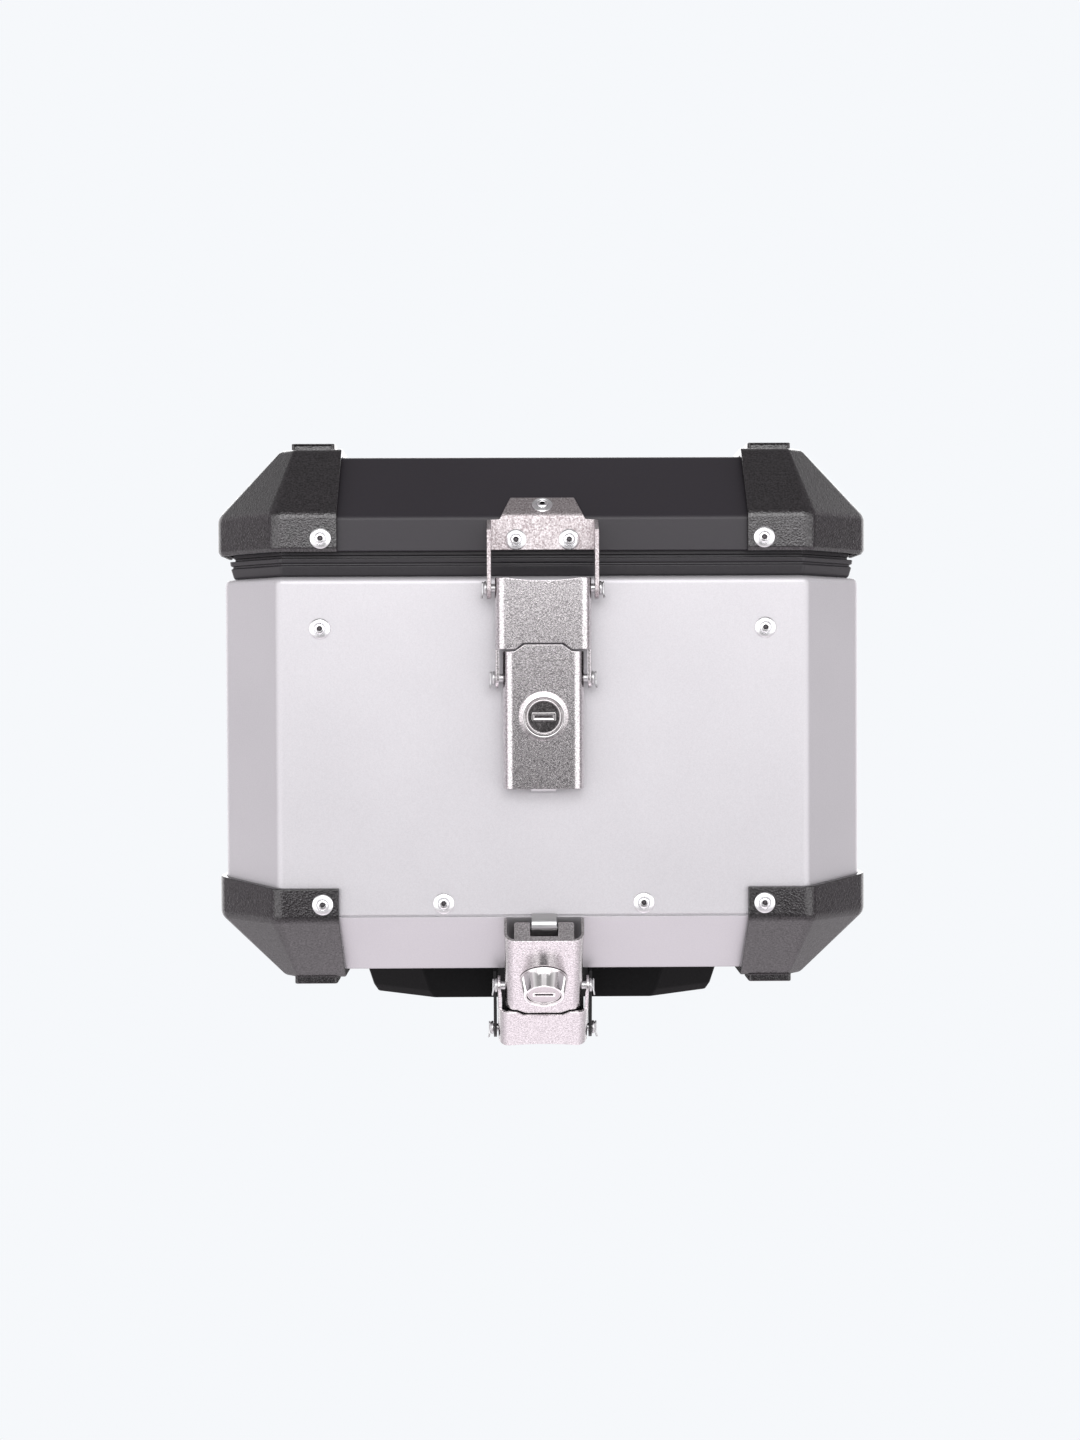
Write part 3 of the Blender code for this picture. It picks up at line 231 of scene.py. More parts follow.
class Nodes:
    """Short ways to build a node tree. Every value is either a socket to link or a constant."""

    def __init__(self, tree):
        self.tree = tree

    def new(self, kind, inputs=(), **settings):
        """A ShaderNode of this kind. inputs pairs a socket's name or index with its value."""
        node = self.tree.nodes.new(f"ShaderNode{kind}")
        for name, value in settings.items():
            setattr(node, name, value)
        for socket, value in dict(inputs).items():
            self.connect(value, node.inputs[socket])
        return node

    def connect(self, value, socket):
        if isinstance(value, bpy.types.NodeSocket):
            self.tree.links.new(value, socket)
        else:
            socket.default_value = value

    def math(self, operation, *values):
        return self.new("Math", enumerate(values), operation=operation).outputs[0]

    def remap(self, value, low, high, reach=NOISE_REACH, interpolation="LINEAR"):
        """low where value is at the start of reach, high at its end."""
        inputs = {"Value": value, "From Min": reach[0], "From Max": reach[1], "To Min": low, "To Max": high}
        return self.new("MapRange", inputs, interpolation_type=interpolation).outputs["Result"]

    def blend(self, share, low, high):
        """Colour between low and high."""
        return self.new("Mix", {0: share, 6: (*low, 1.0), 7: (*high, 1.0)}, data_type="RGBA").outputs[2]


class Surface(Nodes):
    """A Principled material whose textures lie in the object's own coordinates, in metres."""

    def __init__(self, name, metallic):
        self.material = bpy.data.materials.new(name)
        self.material.use_nodes = True
        super().__init__(self.material.node_tree)
        self.shader = self.tree.nodes["Principled BSDF"]
        self.coordinates = self.new("TexCoord").outputs["Object"]
        self.feed(Metallic=metallic)

    def feed(self, **values):
        """Values of the shader's inputs, with _ for a space in a name."""
        for name, value in values.items():
            self.connect(value, self.shader.inputs[name.replace("_", " ")])

    def noise(self, scale, detail=2.0, roughness=0.5, stretch=None):
        vector = self.coordinates
        if stretch:
            vector = self.new("Mapping", {"Vector": vector, "Scale": stretch}).outputs["Vector"]
        inputs = {"Vector": vector, "Scale": scale, "Detail": detail, "Roughness": roughness}
        return self.new("TexNoise", inputs).outputs["Fac"]

    def cells(self, scale, feature="SMOOTH_F1"):
        inputs = {"Vector": self.coordinates, "Scale": scale}
        return self.new("TexVoronoi", inputs, feature=feature).outputs["Distance"]

    def waves(self, scale, direction):
        inputs = {"Vector": self.coordinates, "Scale": scale}
        return self.new("TexWave", inputs, bands_direction=direction).outputs["Fac"]

    def colour(self, share, dark, light):
        self.feed(Base_Color=self.blend(share, dark, light))

    def roughness(self, share, low, high):
        self.feed(Roughness=self.remap(share, low, high))

    def bump(self, height, depth, strength):
        """Adds relief of this depth in metres. A second call adds to the first."""
        normal = self.shader.inputs["Normal"]
        inputs = {"Strength": strength, "Distance": depth, "Height": height}
        if normal.is_linked:
            inputs["Normal"] = normal.links[0].from_socket
        self.connect(self.new("Bump", inputs).outputs["Normal"], normal)


MATERIALS = {}


def look(name, metallic=0.0):
    """Makes a material with the function that follows, and files it under the function's name."""
    def make(paint):
        surface = Surface(name, metallic)
        paint(surface)
        MATERIALS[paint.__name__] = surface.material
        return paint
    return make


@look("silver_satin", 0.50)
def silver_sheet(s):
    """Satin aluminium: a fine even grain with faint broad clouding."""
    grain = s.noise(1500, 3.0, 0.6)
    shade = s.math("ADD", s.remap(grain, 0.0, 0.75), s.remap(s.noise(14), 0.0, 0.25))
    s.colour(shade, (0.505, 0.495, 0.515), (0.595, 0.585, 0.605))
    s.roughness(grain, 0.38, 0.48)
    s.bump(grain, 0.00006, 0.35)


@look("black_powder_coat")
def black_sheet(s):
    """Powder coat: black, with a slight orange peel."""
    s.colour(s.noise(9), (0.017, 0.0145, 0.019), (0.023, 0.0195, 0.025))
    s.roughness(s.noise(1600), 0.34, 0.46)
    s.feed(Specular_IOR_Level=0.45)
    s.bump(s.noise(420), 0.00009, 0.30)


@look("guard_moulded")
def guard_plastic(s):
    """Moulded polymer with a leathery spark-eroded grain."""
    fine = s.noise(2400, 2.0, 0.6)
    speck = s.remap(s.noise(900, 3.0, 0.65), 0.0, 1.0, (0.35, 0.65))
    s.colour(speck, (0.002, 0.0014, 0.0018), (0.016, 0.013, 0.0155))
    s.feed(IOR=1.72, Specular_IOR_Level=s.remap(speck, 0.34, 0.66, (0.0, 1.0)))
    s.roughness(fine, 0.16, 0.27)
    s.bump(s.cells(1050), 0.00028, 0.5)
    s.bump(fine, 0.00008, 0.4)


@look("base_moulded")
def base_plastic(s):
    """Moulded polymer, darker and duller than the guards'."""
    s.feed(Specular_IOR_Level=0.12)
    s.colour(s.noise(500), (0.0022, 0.0022, 0.0025), (0.0050, 0.0050, 0.0055))
    s.roughness(s.noise(2000), 0.38, 0.55)
    s.bump(s.cells(900), 0.00018, 0.35)


@look("rubber_trim")
def seal_rubber(s):
    """Dull rubber with a little dust on it."""
    dust = s.noise(900, 4.0, 0.7)
    s.colour(dust, (0.017, 0.0155, 0.018), (0.036, 0.034, 0.038))
    s.roughness(dust, 0.30, 0.46)
    s.bump(dust, 0.00006, 0.4)


@look("foam_gasket")
def foam(s):
    """Open-pored foam."""
    pores = s.cells(1400, "F1")
    s.feed(Roughness=0.9)
    s.colour(pores, (0.006, 0.006, 0.006), (0.035, 0.035, 0.036))
    s.bump(pores, 0.0003, 0.8)


@look("latch_stainless", 1.0)
def latch_steel(s):
    """Tumbled stainless steel: bright and dark grains about a millimetre across."""
    speckle = s.remap(s.noise(1050, 3.0, 0.75), 0.0, 1.0, (0.37, 0.63))
    s.colour(speckle, (0.43, 0.405, 0.415), (0.84, 0.81, 0.82))
    s.roughness(s.noise(2100), 0.15, 0.26)
    s.bump(speckle, 0.00003, 0.5)


@look("bracket_stainless", 1.0)
def bracket_steel(s):
    """The same steel where it is left rougher: a coarser speckle and a wider sheen."""
    speckle = s.remap(s.noise(1000, 3.0, 0.75), 0.0, 1.0, (0.36, 0.64))
    s.colour(speckle, (0.27, 0.225, 0.23), (0.70, 0.66, 0.67))
    s.roughness(s.noise(2100), 0.34, 0.48)
    s.bump(speckle, 0.00016, 0.5)


@look("lock_chrome_plate", 1.0)
def lock_chrome(s):
    """Plated die casting: a mirror with a slight haze and gentle waviness."""
    s.feed(Base_Color=(0.86, 0.84, 0.84, 1.0))
    s.roughness(s.noise(240, 3.0, 0.6), 0.05, 0.13)
    s.bump(s.noise(90, 1.0), 0.00012, 0.15)


@look("plug_nickel", 1.0)
def plug_metal(s):
    """Cast plug with a slightly mottled face."""
    mottle = s.noise(700, 3.0, 0.7)
    s.colour(mottle, (0.40, 0.37, 0.38), (0.62, 0.59, 0.60))
    s.roughness(mottle, 0.09, 0.18)
    s.bump(mottle, 0.00005, 0.4)


@look("rivet_bright", 1.0)
def rivet_aluminium(s):
    """Bright formed metal with fine marks."""
    marks = s.noise(1800, 2.0, 0.6)
    s.feed(Base_Color=(0.86, 0.86, 0.87, 1.0))
    s.roughness(marks, 0.15, 0.26)
    s.bump(marks, 0.00003, 0.4)


@look("mandrel_and_hole_shade", 1.0)
def mandrel(s):
    """Dark broken end of a rivet's steel mandrel, also laid on the walls of the hole above it as painted
    shade.
    """
    s.feed(Base_Color=(0.09, 0.085, 0.09, 1.0), Roughness=0.45)
    s.bump(s.noise(2600), 0.00006, 0.6)


@look("steel_black_coat", 0.1)
def black_steel(s):
    """Black coated steel with a fine orange peel."""
    peel = s.noise(700)
    s.colour(s.noise(60, 3.0), (0.009, 0.009, 0.010), (0.020, 0.020, 0.021))
    s.roughness(peel, 0.28, 0.42)
    s.bump(peel, 0.00008, 0.35)


@look("zinc_plate", 1.0)
def zinc(s):
    """Plated hinge and catch steel, a little brushed along X."""
    brushed = s.noise(900, 3.0, 0.6, stretch=(0.08, 1, 1))
    s.colour(brushed, (0.50, 0.50, 0.51), (0.72, 0.72, 0.72))
    s.roughness(brushed, 0.26, 0.44)
    s.bump(brushed, 0.00004, 0.35)


@look("strap_weave")
def strap_webbing(s):
    """Woven strap: ribs across it, crossed by the yarns along it."""
    weave = s.math("MULTIPLY", s.waves(330, "Z"), s.waves(420, "Y"))
    s.feed(Roughness=0.85)
    s.colour(weave, (0.010, 0.010, 0.011), (0.045, 0.045, 0.047))
    s.bump(weave, 0.0004, 0.8)


# ---- Mesh helpers ------------------------------------------------------------------------

def as_mesh(bm, name):
    bmesh.ops.recalc_face_normals(bm, faces=bm.faces)
    mesh = bpy.data.meshes.new(name)
    bm.to_mesh(mesh)
    bm.free()
    return mesh


def link(name, data):
    obj = bpy.data.objects.new(name, data)
    bpy.context.scene.collection.objects.link(obj)
    return obj


def add_modifier(obj, name, kind, **settings):
    modifier = obj.modifiers.new(name, kind)
    for setting, value in settings.items():
        setattr(modifier, setting, value)


def add_bevel(obj, width, segments, angle, **settings):
    add_modifier(obj, "edges", "BEVEL", width=width, segments=segments, limit_method="ANGLE",
                 angle_limit=math.radians(angle), **settings)


def apply_modifiers(obj):
    bpy.context.view_layer.update()
    evaluated = obj.evaluated_get(bpy.context.evaluated_depsgraph_get())
    mesh = bpy.data.meshes.new_from_object(evaluated)
    obj.modifiers.clear()
    old, obj.data = obj.data, mesh
    bpy.data.meshes.remove(old)
    mesh.name = obj.name


def combine(obj, bm, operation):
    """Boolean of obj with the shape in bm, applied at once."""
    mesh = as_mesh(bm, f"{obj.name}_tool")
    tool = link(mesh.name, mesh)
    add_modifier(obj, "combine", "BOOLEAN", operation=operation, solver="EXACT", object=tool)
    apply_modifiers(obj)
    bpy.data.objects.remove(tool)
    bpy.data.meshes.remove(mesh)


cut = partial(combine, operation="DIFFERENCE")
trim = partial(combine, operation="INTERSECT")
join = partial(combine, operation="UNION")


def finish_edges(obj, width=0.0, segments=2, angle=34):
    """Rounds the sharp edges where width isn't 0, and shades the rest smooth."""
    obj.data.shade_smooth()
    if width > 0:
        add_modifier(obj, "tidy", "WELD", merge_threshold=WELD_REACH)
        add_bevel(obj, width, segments, angle, use_clamp_overlap=False, miter_outer="MITER_ARC")
        apply_modifiers(obj)
        obj.data.shade_smooth()
    obj.data.set_sharp_from_angle(angle=SHARP_ANGLE)
    add_modifier(obj, "normals", "WEIGHTED_NORMAL", keep_sharp=True, weight=80)


def piece(name, bm, slot, body, stands_for=(), material=None):
    """A visual piece on a body. slot is the record's; material is the key of a look that isn't the slot's."""
    obj = link(name, as_mesh(bm, name))
    obj.data.materials.append(MATERIALS[material or slot])
    if body:
        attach(obj, body)
    if stands_for:
        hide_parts(*stands_for)
    return obj


def stand_in(node, bm, slot, material=None):
    """A finer piece in place of a CAD node, on that node's body."""
    return piece(f"fine_{node}", bm, slot, frame["nodes"][node]["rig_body"], (node,), material)


def trapezoid(low, high, half_low, half_high):
    return [(-half_low, low), (half_low, low), (half_high, high), (-half_high, high)]


def rectangle(half_a, half_b):
    return trapezoid(-half_b, half_b, half_a, half_a)


def spans(*ranges):
    """(low, high) pairs out of pairs in any order, as mirrored ones are."""
    return [tuple(sorted(pair)) for pair in ranges]


def rounded(points, radius, steps):
    """The closed polygon of points, anticlockwise, with each corner turned into an arc."""
    result = []
    count = len(points)
    for i in range(count):
        corner = Vector(points[i])
        before = (Vector(points[i - 1]) - corner).normalized()
        after = (Vector(points[(i + 1) % count]) - corner).normalized()
        half = before.angle(after) / 2
        centre = corner + (before + after).normalized() * (radius / math.sin(half))
        start = corner + before * (radius / math.tan(half)) - centre
        end = corner + after * (radius / math.tan(half)) - centre
        turn = start.angle(end)
        for step in range(steps + 1):
            share = step / steps
            weight_a = math.sin((1 - share) * turn) / math.sin(turn)
            weight_b = math.sin(share * turn) / math.sin(turn)
            result.append(centre + start * weight_a + end * weight_b)
    return result


def ring(z, half_w, half_d, chamfer, bend, centre_y=0.0):
    """The chamfered rectangle of one level, anticlockwise. chamfer is one size or (along X, along Y)."""
    cx, cy = chamfer if isinstance(chamfer, tuple) else (chamfer, chamfer)
    corners = []
    for sx, sy in ((1, -1), (1, 1), (-1, 1), (-1, -1)):
        along_x = Vector((sx * (half_w - cx), sy * half_d + centre_y))
        along_y = Vector((sx * half_w, sy * (half_d - cy) + centre_y))
        corners += [along_x, along_y] if sx * sy < 0 else [along_y, along_x]
    return [Vector((*p, z)) for p in rounded(corners, bend, BEND_STEPS)]


def grown(half_w, half_d, chamfer, by):
    """Sizes of a chamfered rectangle after its sides all move outward by the same distance."""
    return half_w + by, half_d + by, chamfer + by * (2 - math.sqrt(2))


def wall_ring(half_w, half_d, chamfer, inset, z):
    return ring(z, *grown(half_w, half_d, chamfer, -inset), max(SHELL_BEND - inset, 0.001))


def press_ring(half_w, half_d, chamfer, inset, z):
    half_w, half_d, chamfer = grown(half_w, half_d, chamfer, -inset)
    return ring(z, half_w, half_d, max(chamfer, 0.004), 0.0015)


def tray_ring(half_w, half_d, inset, z):
    half_w, half_d, _ = grown(half_w, half_d, 0, -inset)
    return ring(z, half_w, half_d, BASE_CHAMFER, 0.003, BASE_CENTRE_Y)


# Ring makers: each takes how far the ring is set in from its sheet's outside, and its height.
shell = partial(wall_ring, SHELL_HALF_W, SHELL_HALF_D, SHELL_CHAMFER)
pan = partial(press_ring, PAN_BOTTOM_HALF_W, PAN_BOTTOM_HALF_D, PAN_BOTTOM_CHAMFER)
lid = partial(wall_ring, LID_HALF_W, LID_HALF_D, LID_CHAMFER)
lid_top = partial(press_ring, LID_TOP_HALF_W, LID_TOP_HALF_D, LID_TOP_CHAMFER)
tray_foot, tray_lip, tray_rim = (partial(tray_ring, *halves) for halves in zip(BASE_HALF_W, BASE_HALF_D))


def fold_over(corner, start, end):
    """Points on the curve from start to end that corner pulls outward."""
    shares = [step / FOLD_STEPS for step in range(FOLD_STEPS + 1)]
    return [start * (1 - t) ** 2 + corner * (2 * t * (1 - t)) + end * t * t for t in shares]


def loft(stations, closed=False):
    """Solid through rings with rounded folds. stations are (ring maker, inset, z, reach of the fold)."""
    rings = [maker(inset, z) for maker, inset, z, _ in stations]
    result = []
    for i, corner_ring in enumerate(rings):
        fold = stations[i][3]
        if fold <= 0 or (not closed and i in (0, len(rings) - 1)):
            result.append(corner_ring)
            continue
        columns = []
        for p, a, b in zip(corner_ring, rings[i - 1], rings[(i + 1) % len(rings)]):
            columns.append(fold_over(p, p + (a - p).normalized() * fold, p + (b - p).normalized() * fold))
        result += zip(*columns)
    return skin(result, closed)


def bridge(bm, rings, closed=False):
    """Faces between neighbouring rings of vertices. A ring of one vertex is a tip."""
    pairs = list(zip(rings, rings[1:]))
    if closed:
        pairs.append((rings[-1], rings[0]))
    for low, high in pairs:
        count = max(len(low), len(high))
        for i in range(count):
            j = (i + 1) % count
            if len(low) == 1:
                bm.faces.new((low[0], high[i], high[j]))
            elif len(high) == 1:
                bm.faces.new((low[i], low[j], high[0]))
            else:
                bm.faces.new((low[i], low[j], high[j], high[i]))
    return bm


def skin(rings, closed=False):
    """Solid through rings of equally many points. A closed one is a frame, an open one has end caps."""
    bm = bmesh.new()
    loops = [[bm.verts.new(p) for p in points] for points in rings]
    if not closed:
        bm.faces.new(loops[0])
        bm.faces.new(loops[-1])
    return bridge(bm, loops, closed)


def prism(points, low, high, place):
    """A 2-D polygon extruded from low to high. place(a, b, c) gives the world point."""
    return skin([[place(p[0], p[1], c) for p in points] for c in (low, high)])


def upright(a, b, c):
    """place() for a plan outline in (x, y) that runs up Z."""
    return Vector((a, b, c))


def across_x(a, b, c):
    """place() for a side outline in (y, z) that runs across X."""
    return Vector((c, a, b))


def plan_box(xs, ys):
    return [(xs[0], ys[0]), (xs[1], ys[0]), (xs[1], ys[1]), (xs[0], ys[1])]


def circle(steps):
    return [(math.cos(a), math.sin(a)) for a in (2 * math.pi * i / steps for i in range(steps))]


def lathe(profile, place, steps=ROUND_STEPS, closed=False):
    """Turned piece. profile is (radius, height) pairs, from axis to axis unless it is closed."""
    bm = bmesh.new()
    rings = []
    for radius, height in profile:
        spots = circle(steps) if radius > 0 else [(0, 0)]
        rings.append([bm.verts.new(place(radius * c, radius * s, height)) for c, s in spots])
    return bridge(bm, rings, closed)


def raised(by, profile):
    """A lathe's profile, or a part of one, moved up the axis."""
    return [(radius, by + height) for radius, height in profile]


def rod(radius, low, high, place, steps=24):
    return lathe([(0, low), (radius, low), (radius, high), (0, high)], place, steps)


def merged(*shapes):
    """One bmesh that holds several separate shapes."""
    result = bmesh.new()
    for bm in shapes:
        mesh = as_mesh(bm, "part_of_group")
        result.from_mesh(mesh)
        bpy.data.meshes.remove(mesh)
    return result


def arc(centre, radius, start_deg, end_deg, steps=10):
    """Points on a circle in a 2-D plane, both ends included."""
    angles = [math.radians(start_deg + (end_deg - start_deg) * i / steps) for i in range(steps + 1)]
    return [(centre[0] + radius * math.cos(a), centre[1] + radius * math.sin(a)) for a in angles]


def axis_place(origin, axis):
    """place() for a turned piece: heights run along axis from origin."""
    turn = Vector(axis).normalized().to_track_quat("Z", "X").to_matrix()
    return lambda a, b, c: Vector(origin) + turn @ Vector((a, b, c))


def heading(path, i):
    """Direction of a path of points at its point i."""
    return (path[min(i + 1, len(path) - 1)] - path[max(i - 1, 0)]).normalized()


def wire(path, radius, steps=10):
    """Round wire along a path of points, with rounded ends."""
    bm = bmesh.new()
    rings = []
    for i, point in enumerate(path):
        along = heading(path, i)
        side = (side - along * side.dot(along) if rings else along.orthogonal()).normalized()
        other = along.cross(side)
        rings.append([bm.verts.new(point + (side * c + other * s) * radius) for c, s in circle(steps)])
    bridge(bm, rings)
    for end, tip in ((rings[0], path[0] * 2 - path[1]), (rings[-1], path[-1] * 2 - path[-2])):
        middle = sum((v.co for v in end), Vector()) / steps
        bridge(bm, [end, [bm.verts.new(middle + (tip - middle).normalized() * radius * 0.7)]])
    return bm


# ---- Case --------------------------------------------------------------------------------

def build_body_shell():
    """Wrapped side walls, rolled over into the shelf and up into the rim."""
    inside = RIM_INSET + SHEET
    low = SEAM_Z + 0.0003
    section = [
        (shell, 0, low, 0.0006), (shell, 0, SHELL_TOP_Z, SHELL_FOLD),
        (shell, RIM_INSET, SHELL_TOP_Z, 0.0008), (shell, RIM_INSET, RIM_TOP_Z, 0.0003),
        (shell, inside, RIM_TOP_Z, 0.0003), (shell, inside, SHELL_TOP_Z - SHEET, 0.0008),
        (shell, SHEET, SHELL_TOP_Z - SHEET, SHELL_FOLD - SHEET), (shell, SHEET, low, 0.0003)]
    finish_edges(stand_in("body_shell", loft(section, closed=True), "silver_sheet"))


def build_bottom_pan():
    """Pressed tray: flat floor, sloping sides, and the upstand that is riveted inside the shell."""
    upstand = SHEET + GAP
    inside = upstand + SHEET
    step_z = SEAM_Z - 0.0006
    section = [
        (pan, FLAT_INSET, PAN_BOTTOM_Z, 0), (pan, 0, PAN_BOTTOM_Z, 0.0020),
        (shell, GAP, PAN_SLOPE_TOP_Z, 0.0006), (shell, GAP + 0.0006, step_z, 0.0003),
        (shell, upstand, step_z, 0), (shell, upstand, PAN_UPSTAND_TOP_Z, 0.0003),
        (shell, inside, PAN_UPSTAND_TOP_Z, 0.0003), (shell, inside, PAN_SLOPE_TOP_Z, 0.0015),
        (pan, 0.0008, PAN_BOTTOM_Z + SHEET, 0.0015), (pan, FLAT_INSET, PAN_BOTTOM_Z + SHEET, 0)]
    finish_edges(stand_in("bottom_pan", loft(section), "silver_sheet"))


def build_rim_seal():
    """Rubber trim over the rim: a flared foot, a lip under the lid's skirt, and a groove above each."""
    low = SHELL_TOP_Z + GAP
    top = RIM_TOP_Z + 0.0050
    slot = (RIM_INSET - GAP, RIM_INSET + SHEET + GAP)
    outside = [
        (slot[0], 0, 0), (0.0058, 0, 0.0005), (0.0049, 0.0012, 0.0006), (0.0034, 0.0062, 0.0005),     # foot
        (0.0046, 0.0069, 0.0003), (0.0046, 0.0078, 0.0003),                                           # groove
        (0.0031, 0.0083, 0.0005), (0.0027, 0.0108, 0.0005),                                           # lip
        (0.0060, 0.0111, 0.0004), (0.0060, 0.0125, 0.0004), (0.0050, 0.0128, 0.0004)]                 # groove
    section = [(shell, inset, low + up, fold) for inset, up, fold in outside]
    section += [
        (shell, 0.0050, top - 0.0006, 0.0008), (shell, 0.0065, top, 0.0008), (shell, 0.0090, top, 0.0012),
        (shell, 0.0103, RIM_TOP_Z + 0.0030, 0.0012), (shell, 0.0103, low + 0.0040, 0.0005),
        (shell, slot[1], low + 0.0040, 0), (shell, slot[1], RIM_TOP_Z + GAP, 0),
        (shell, slot[0], RIM_TOP_Z + GAP, 0)]
    finish_edges(stand_in("rim_seal", loft(section, closed=True), "seal_rubber"))


def corner_box(sx, sy, low_z, high_z):
    """The corner of the case that a guard covers."""
    xs, ys = spans((sx * GUARD_START_X, sx * FAR), (sy * GUARD_START_Y, sy * FAR))
    return prism(plan_box(xs, ys), low_z, high_z, upright)


def lug(sx, sy, low_z, high_z):
    """Moulded pad on a guard: a foot below, a stacking lug above."""
    xs, ys = spans([sx * x for x in LUG_X], [sy * y for y in LUG_Y])
    return prism(rounded(plan_box(xs, ys), 0.002, 5), low_z, high_z, upright)


def build_base_guard(node, sx, sy):
    """Guard round a lower corner. Its upper edge climbs along the chamfer, from the front to the side."""
    top = 0.100
    proud = GUARD_PROUD
    outer = loft([
        (pan, 0.060, BASE_GUARD_BOTTOM_Z, 0), (pan, -0.005, BASE_GUARD_BOTTOM_Z, 0.0030),
        (shell, -proud, BASE_GUARD_FOLD_Z, GUARD_FOLD), (shell, -proud, top, 0)])
    inner = loft([
        (pan, -GUARD_GAP[1], PAN_BOTTOM_Z - 0.0005, 0), (shell, -GUARD_GAP[0], PAN_SLOPE_TOP_Z, 0.0010),
        (shell, -GUARD_GAP[0], top + 0.010, 0)])
    obj = stand_in(node, outer, "guard_plastic")
    cut(obj, inner)
    edge = [(0, 0), (FAR, 0), (FAR, BASE_GUARD_FRONT_Z), (SHELL_HALF_D + proud, BASE_GUARD_FRONT_Z),
            (SHELL_HALF_D - SHELL_CHAMFER, BASE_GUARD_SIDE_Z), (0, BASE_GUARD_SIDE_Z)]
    trim(obj, prism([(sy * a, b) for a, b in edge], -FAR, FAR, across_x))
    trim(obj, corner_box(sx, sy, 0.0, top))
    join(obj, lug(sx, sy, BASE_GUARD_BOTTOM_Z - LUG_HEIGHT, BASE_GUARD_BOTTOM_Z + LUG_ROOT))
    finish_edges(obj, GUARD_EDGE, 3)


def build_lid_guard(node, sx, sy):
    """Guard over a lid corner, with a turned-in lower lip and a stacking lug recessed on its outside."""
    proud = GUARD_PROUD
    bottom = SKIRT_BOTTOM_Z - 0.0006
    lug_top = LID_GUARD_TOP_Z + LUG_HEIGHT
    outer = loft([
        (lid, -proud + 0.0016, bottom, 0), (lid, -proud, bottom + 0.0022, 0.0006),
        (lid, -proud, LID_GUARD_FOLD_Z, GUARD_FOLD), (lid_top, -0.005, LID_GUARD_TOP_Z, 0.0034),
        (lid_top, 0.060, LID_GUARD_TOP_Z, 0)])
    inner = loft([
        (lid, -GUARD_GAP[0], SKIRT_BOTTOM_Z - 0.010, 0), (lid, -GUARD_GAP[0], SKIRT_TOP_Z + 0.0004, 0.0015),
        (lid_top, -GUARD_GAP[1], LID_TOP_Z + 0.0005, 0)])
    obj = stand_in(node, outer, "guard_plastic")
    cut(obj, inner)
    trim(obj, corner_box(sx, sy, 0.25, 0.40))
    join(obj, lug(sx, sy, LID_GUARD_TOP_Z - LUG_ROOT, lug_top))
    xs, ys = spans((sx * (LUG_X[0] + 0.0018), sx * (LUG_X[1] - 0.0018)),
                   (sy * (LUG_Y[1] - 0.0009), sy * (LUG_Y[1] + 0.004)))
    cut(obj, prism(plan_box(xs, ys), LID_GUARD_TOP_Z + 0.0006, lug_top - 0.0009, upright))
    finish_edges(obj, GUARD_EDGE * 0.6, 3)


# ---- Lid ---------------------------------------------------------------------------------

def build_lid_shell():
    """Pressed lid: skirt, four sloping sides and their corners, and the flat top."""
    top_in = 0.040
    section = [
        (lid_top, top_in, LID_TOP_Z, 0), (lid_top, 0, LID_TOP_Z, LID_FOLD),
        (lid, 0, SKIRT_TOP_Z, LID_FOLD), (lid, 0, SKIRT_BOTTOM_Z, 0.0005),
        (lid, SHEET, SKIRT_BOTTOM_Z, 0.0003), (lid, SHEET, SKIRT_TOP_Z - 0.0006, 0.0010),
        (lid_top, 0.0008, LID_TOP_Z - SHEET, 0.0010), (lid_top, top_in, LID_TOP_Z - SHEET, 0)]
    finish_edges(stand_in("lid_shell", loft(section), "black_sheet"))


def build_lid_bracket():
    """Keeper on the lid: riveted face, tapered flap on the slope, and a leg each side down to the pivot."""
    sheet = BRACKET_SHEET
    low_y = -(LID_HALF_D + GAP)
    half = BRACKET_HALF_U
    run = BRACKET_FLAP * math.sqrt(0.5)
    low_z = SKIRT_BOTTOM_Z + 0.0002
    bend_z = SKIRT_TOP_Z - GAP * 0.4
    fold = 0.0022
    knee = Vector((low_y - sheet, bend_z + sheet * math.tan(math.radians(22.5))))
    toe = Vector((low_y + run - sheet * math.sqrt(0.5), bend_z + run + sheet * math.sqrt(0.5)))
    bend = fold_over(knee, knee + (toe - knee).normalized() * fold, knee - Vector((0, fold)))
    plate = [(low_y, low_z), (low_y, bend_z), (low_y + run, bend_z + run), toe, *bend, (low_y - sheet, low_z)]
    obj = stand_in("lid_latch_bracket", prism(plate, -half, half, across_x), "latch_steel", "bracket_steel")
    shoulder_z, top_z = bend_z - 0.0016, bend_z + run + 0.004
    wide = half + MARGIN
    shoulder, tip, under = 0.0256, 0.0180, 0.27
    flare = [(-wide, under), (wide, under), (wide, shoulder_z - 0.0004), (shoulder, shoulder_z),
             (tip, top_z), (-tip, top_z), (-shoulder, shoulder_z), (-wide, shoulder_z - 0.0004)]
    trim(obj, prism(flare, -0.21, -0.16, lambda a, b, c: Vector((a, c, b))))
    pivot = JOINT_PLACES["upper_link_swing"]
    leg = [(low_y, bend_z - 0.0024), (low_y - 0.006, bend_z - 0.0024), (pivot.y - EYE_R, bend_z - 0.0090)]
    leg += arc((pivot.y, pivot.z), EYE_R, 180, 360, 20)
    leg += [(pivot.y + EYE_R, SKIRT_BOTTOM_Z - 0.004), (low_y, SKIRT_BOTTOM_Z + 0.0010)]
    for sx in (-1, 1):
        join(obj, prism(leg, *sorted((sx * (half - 0.0002), sx * (half + sheet))), across_x))
    cut(obj, rod(LATCH_PIN_R + GAP, -THROUGH, THROUGH, lambda a, b, c: Vector((c, pivot.y + a, pivot.z + b))))
    finish_edges(obj, 0.0004)


# ---- Rivets ------------------------------------------------------------------------------

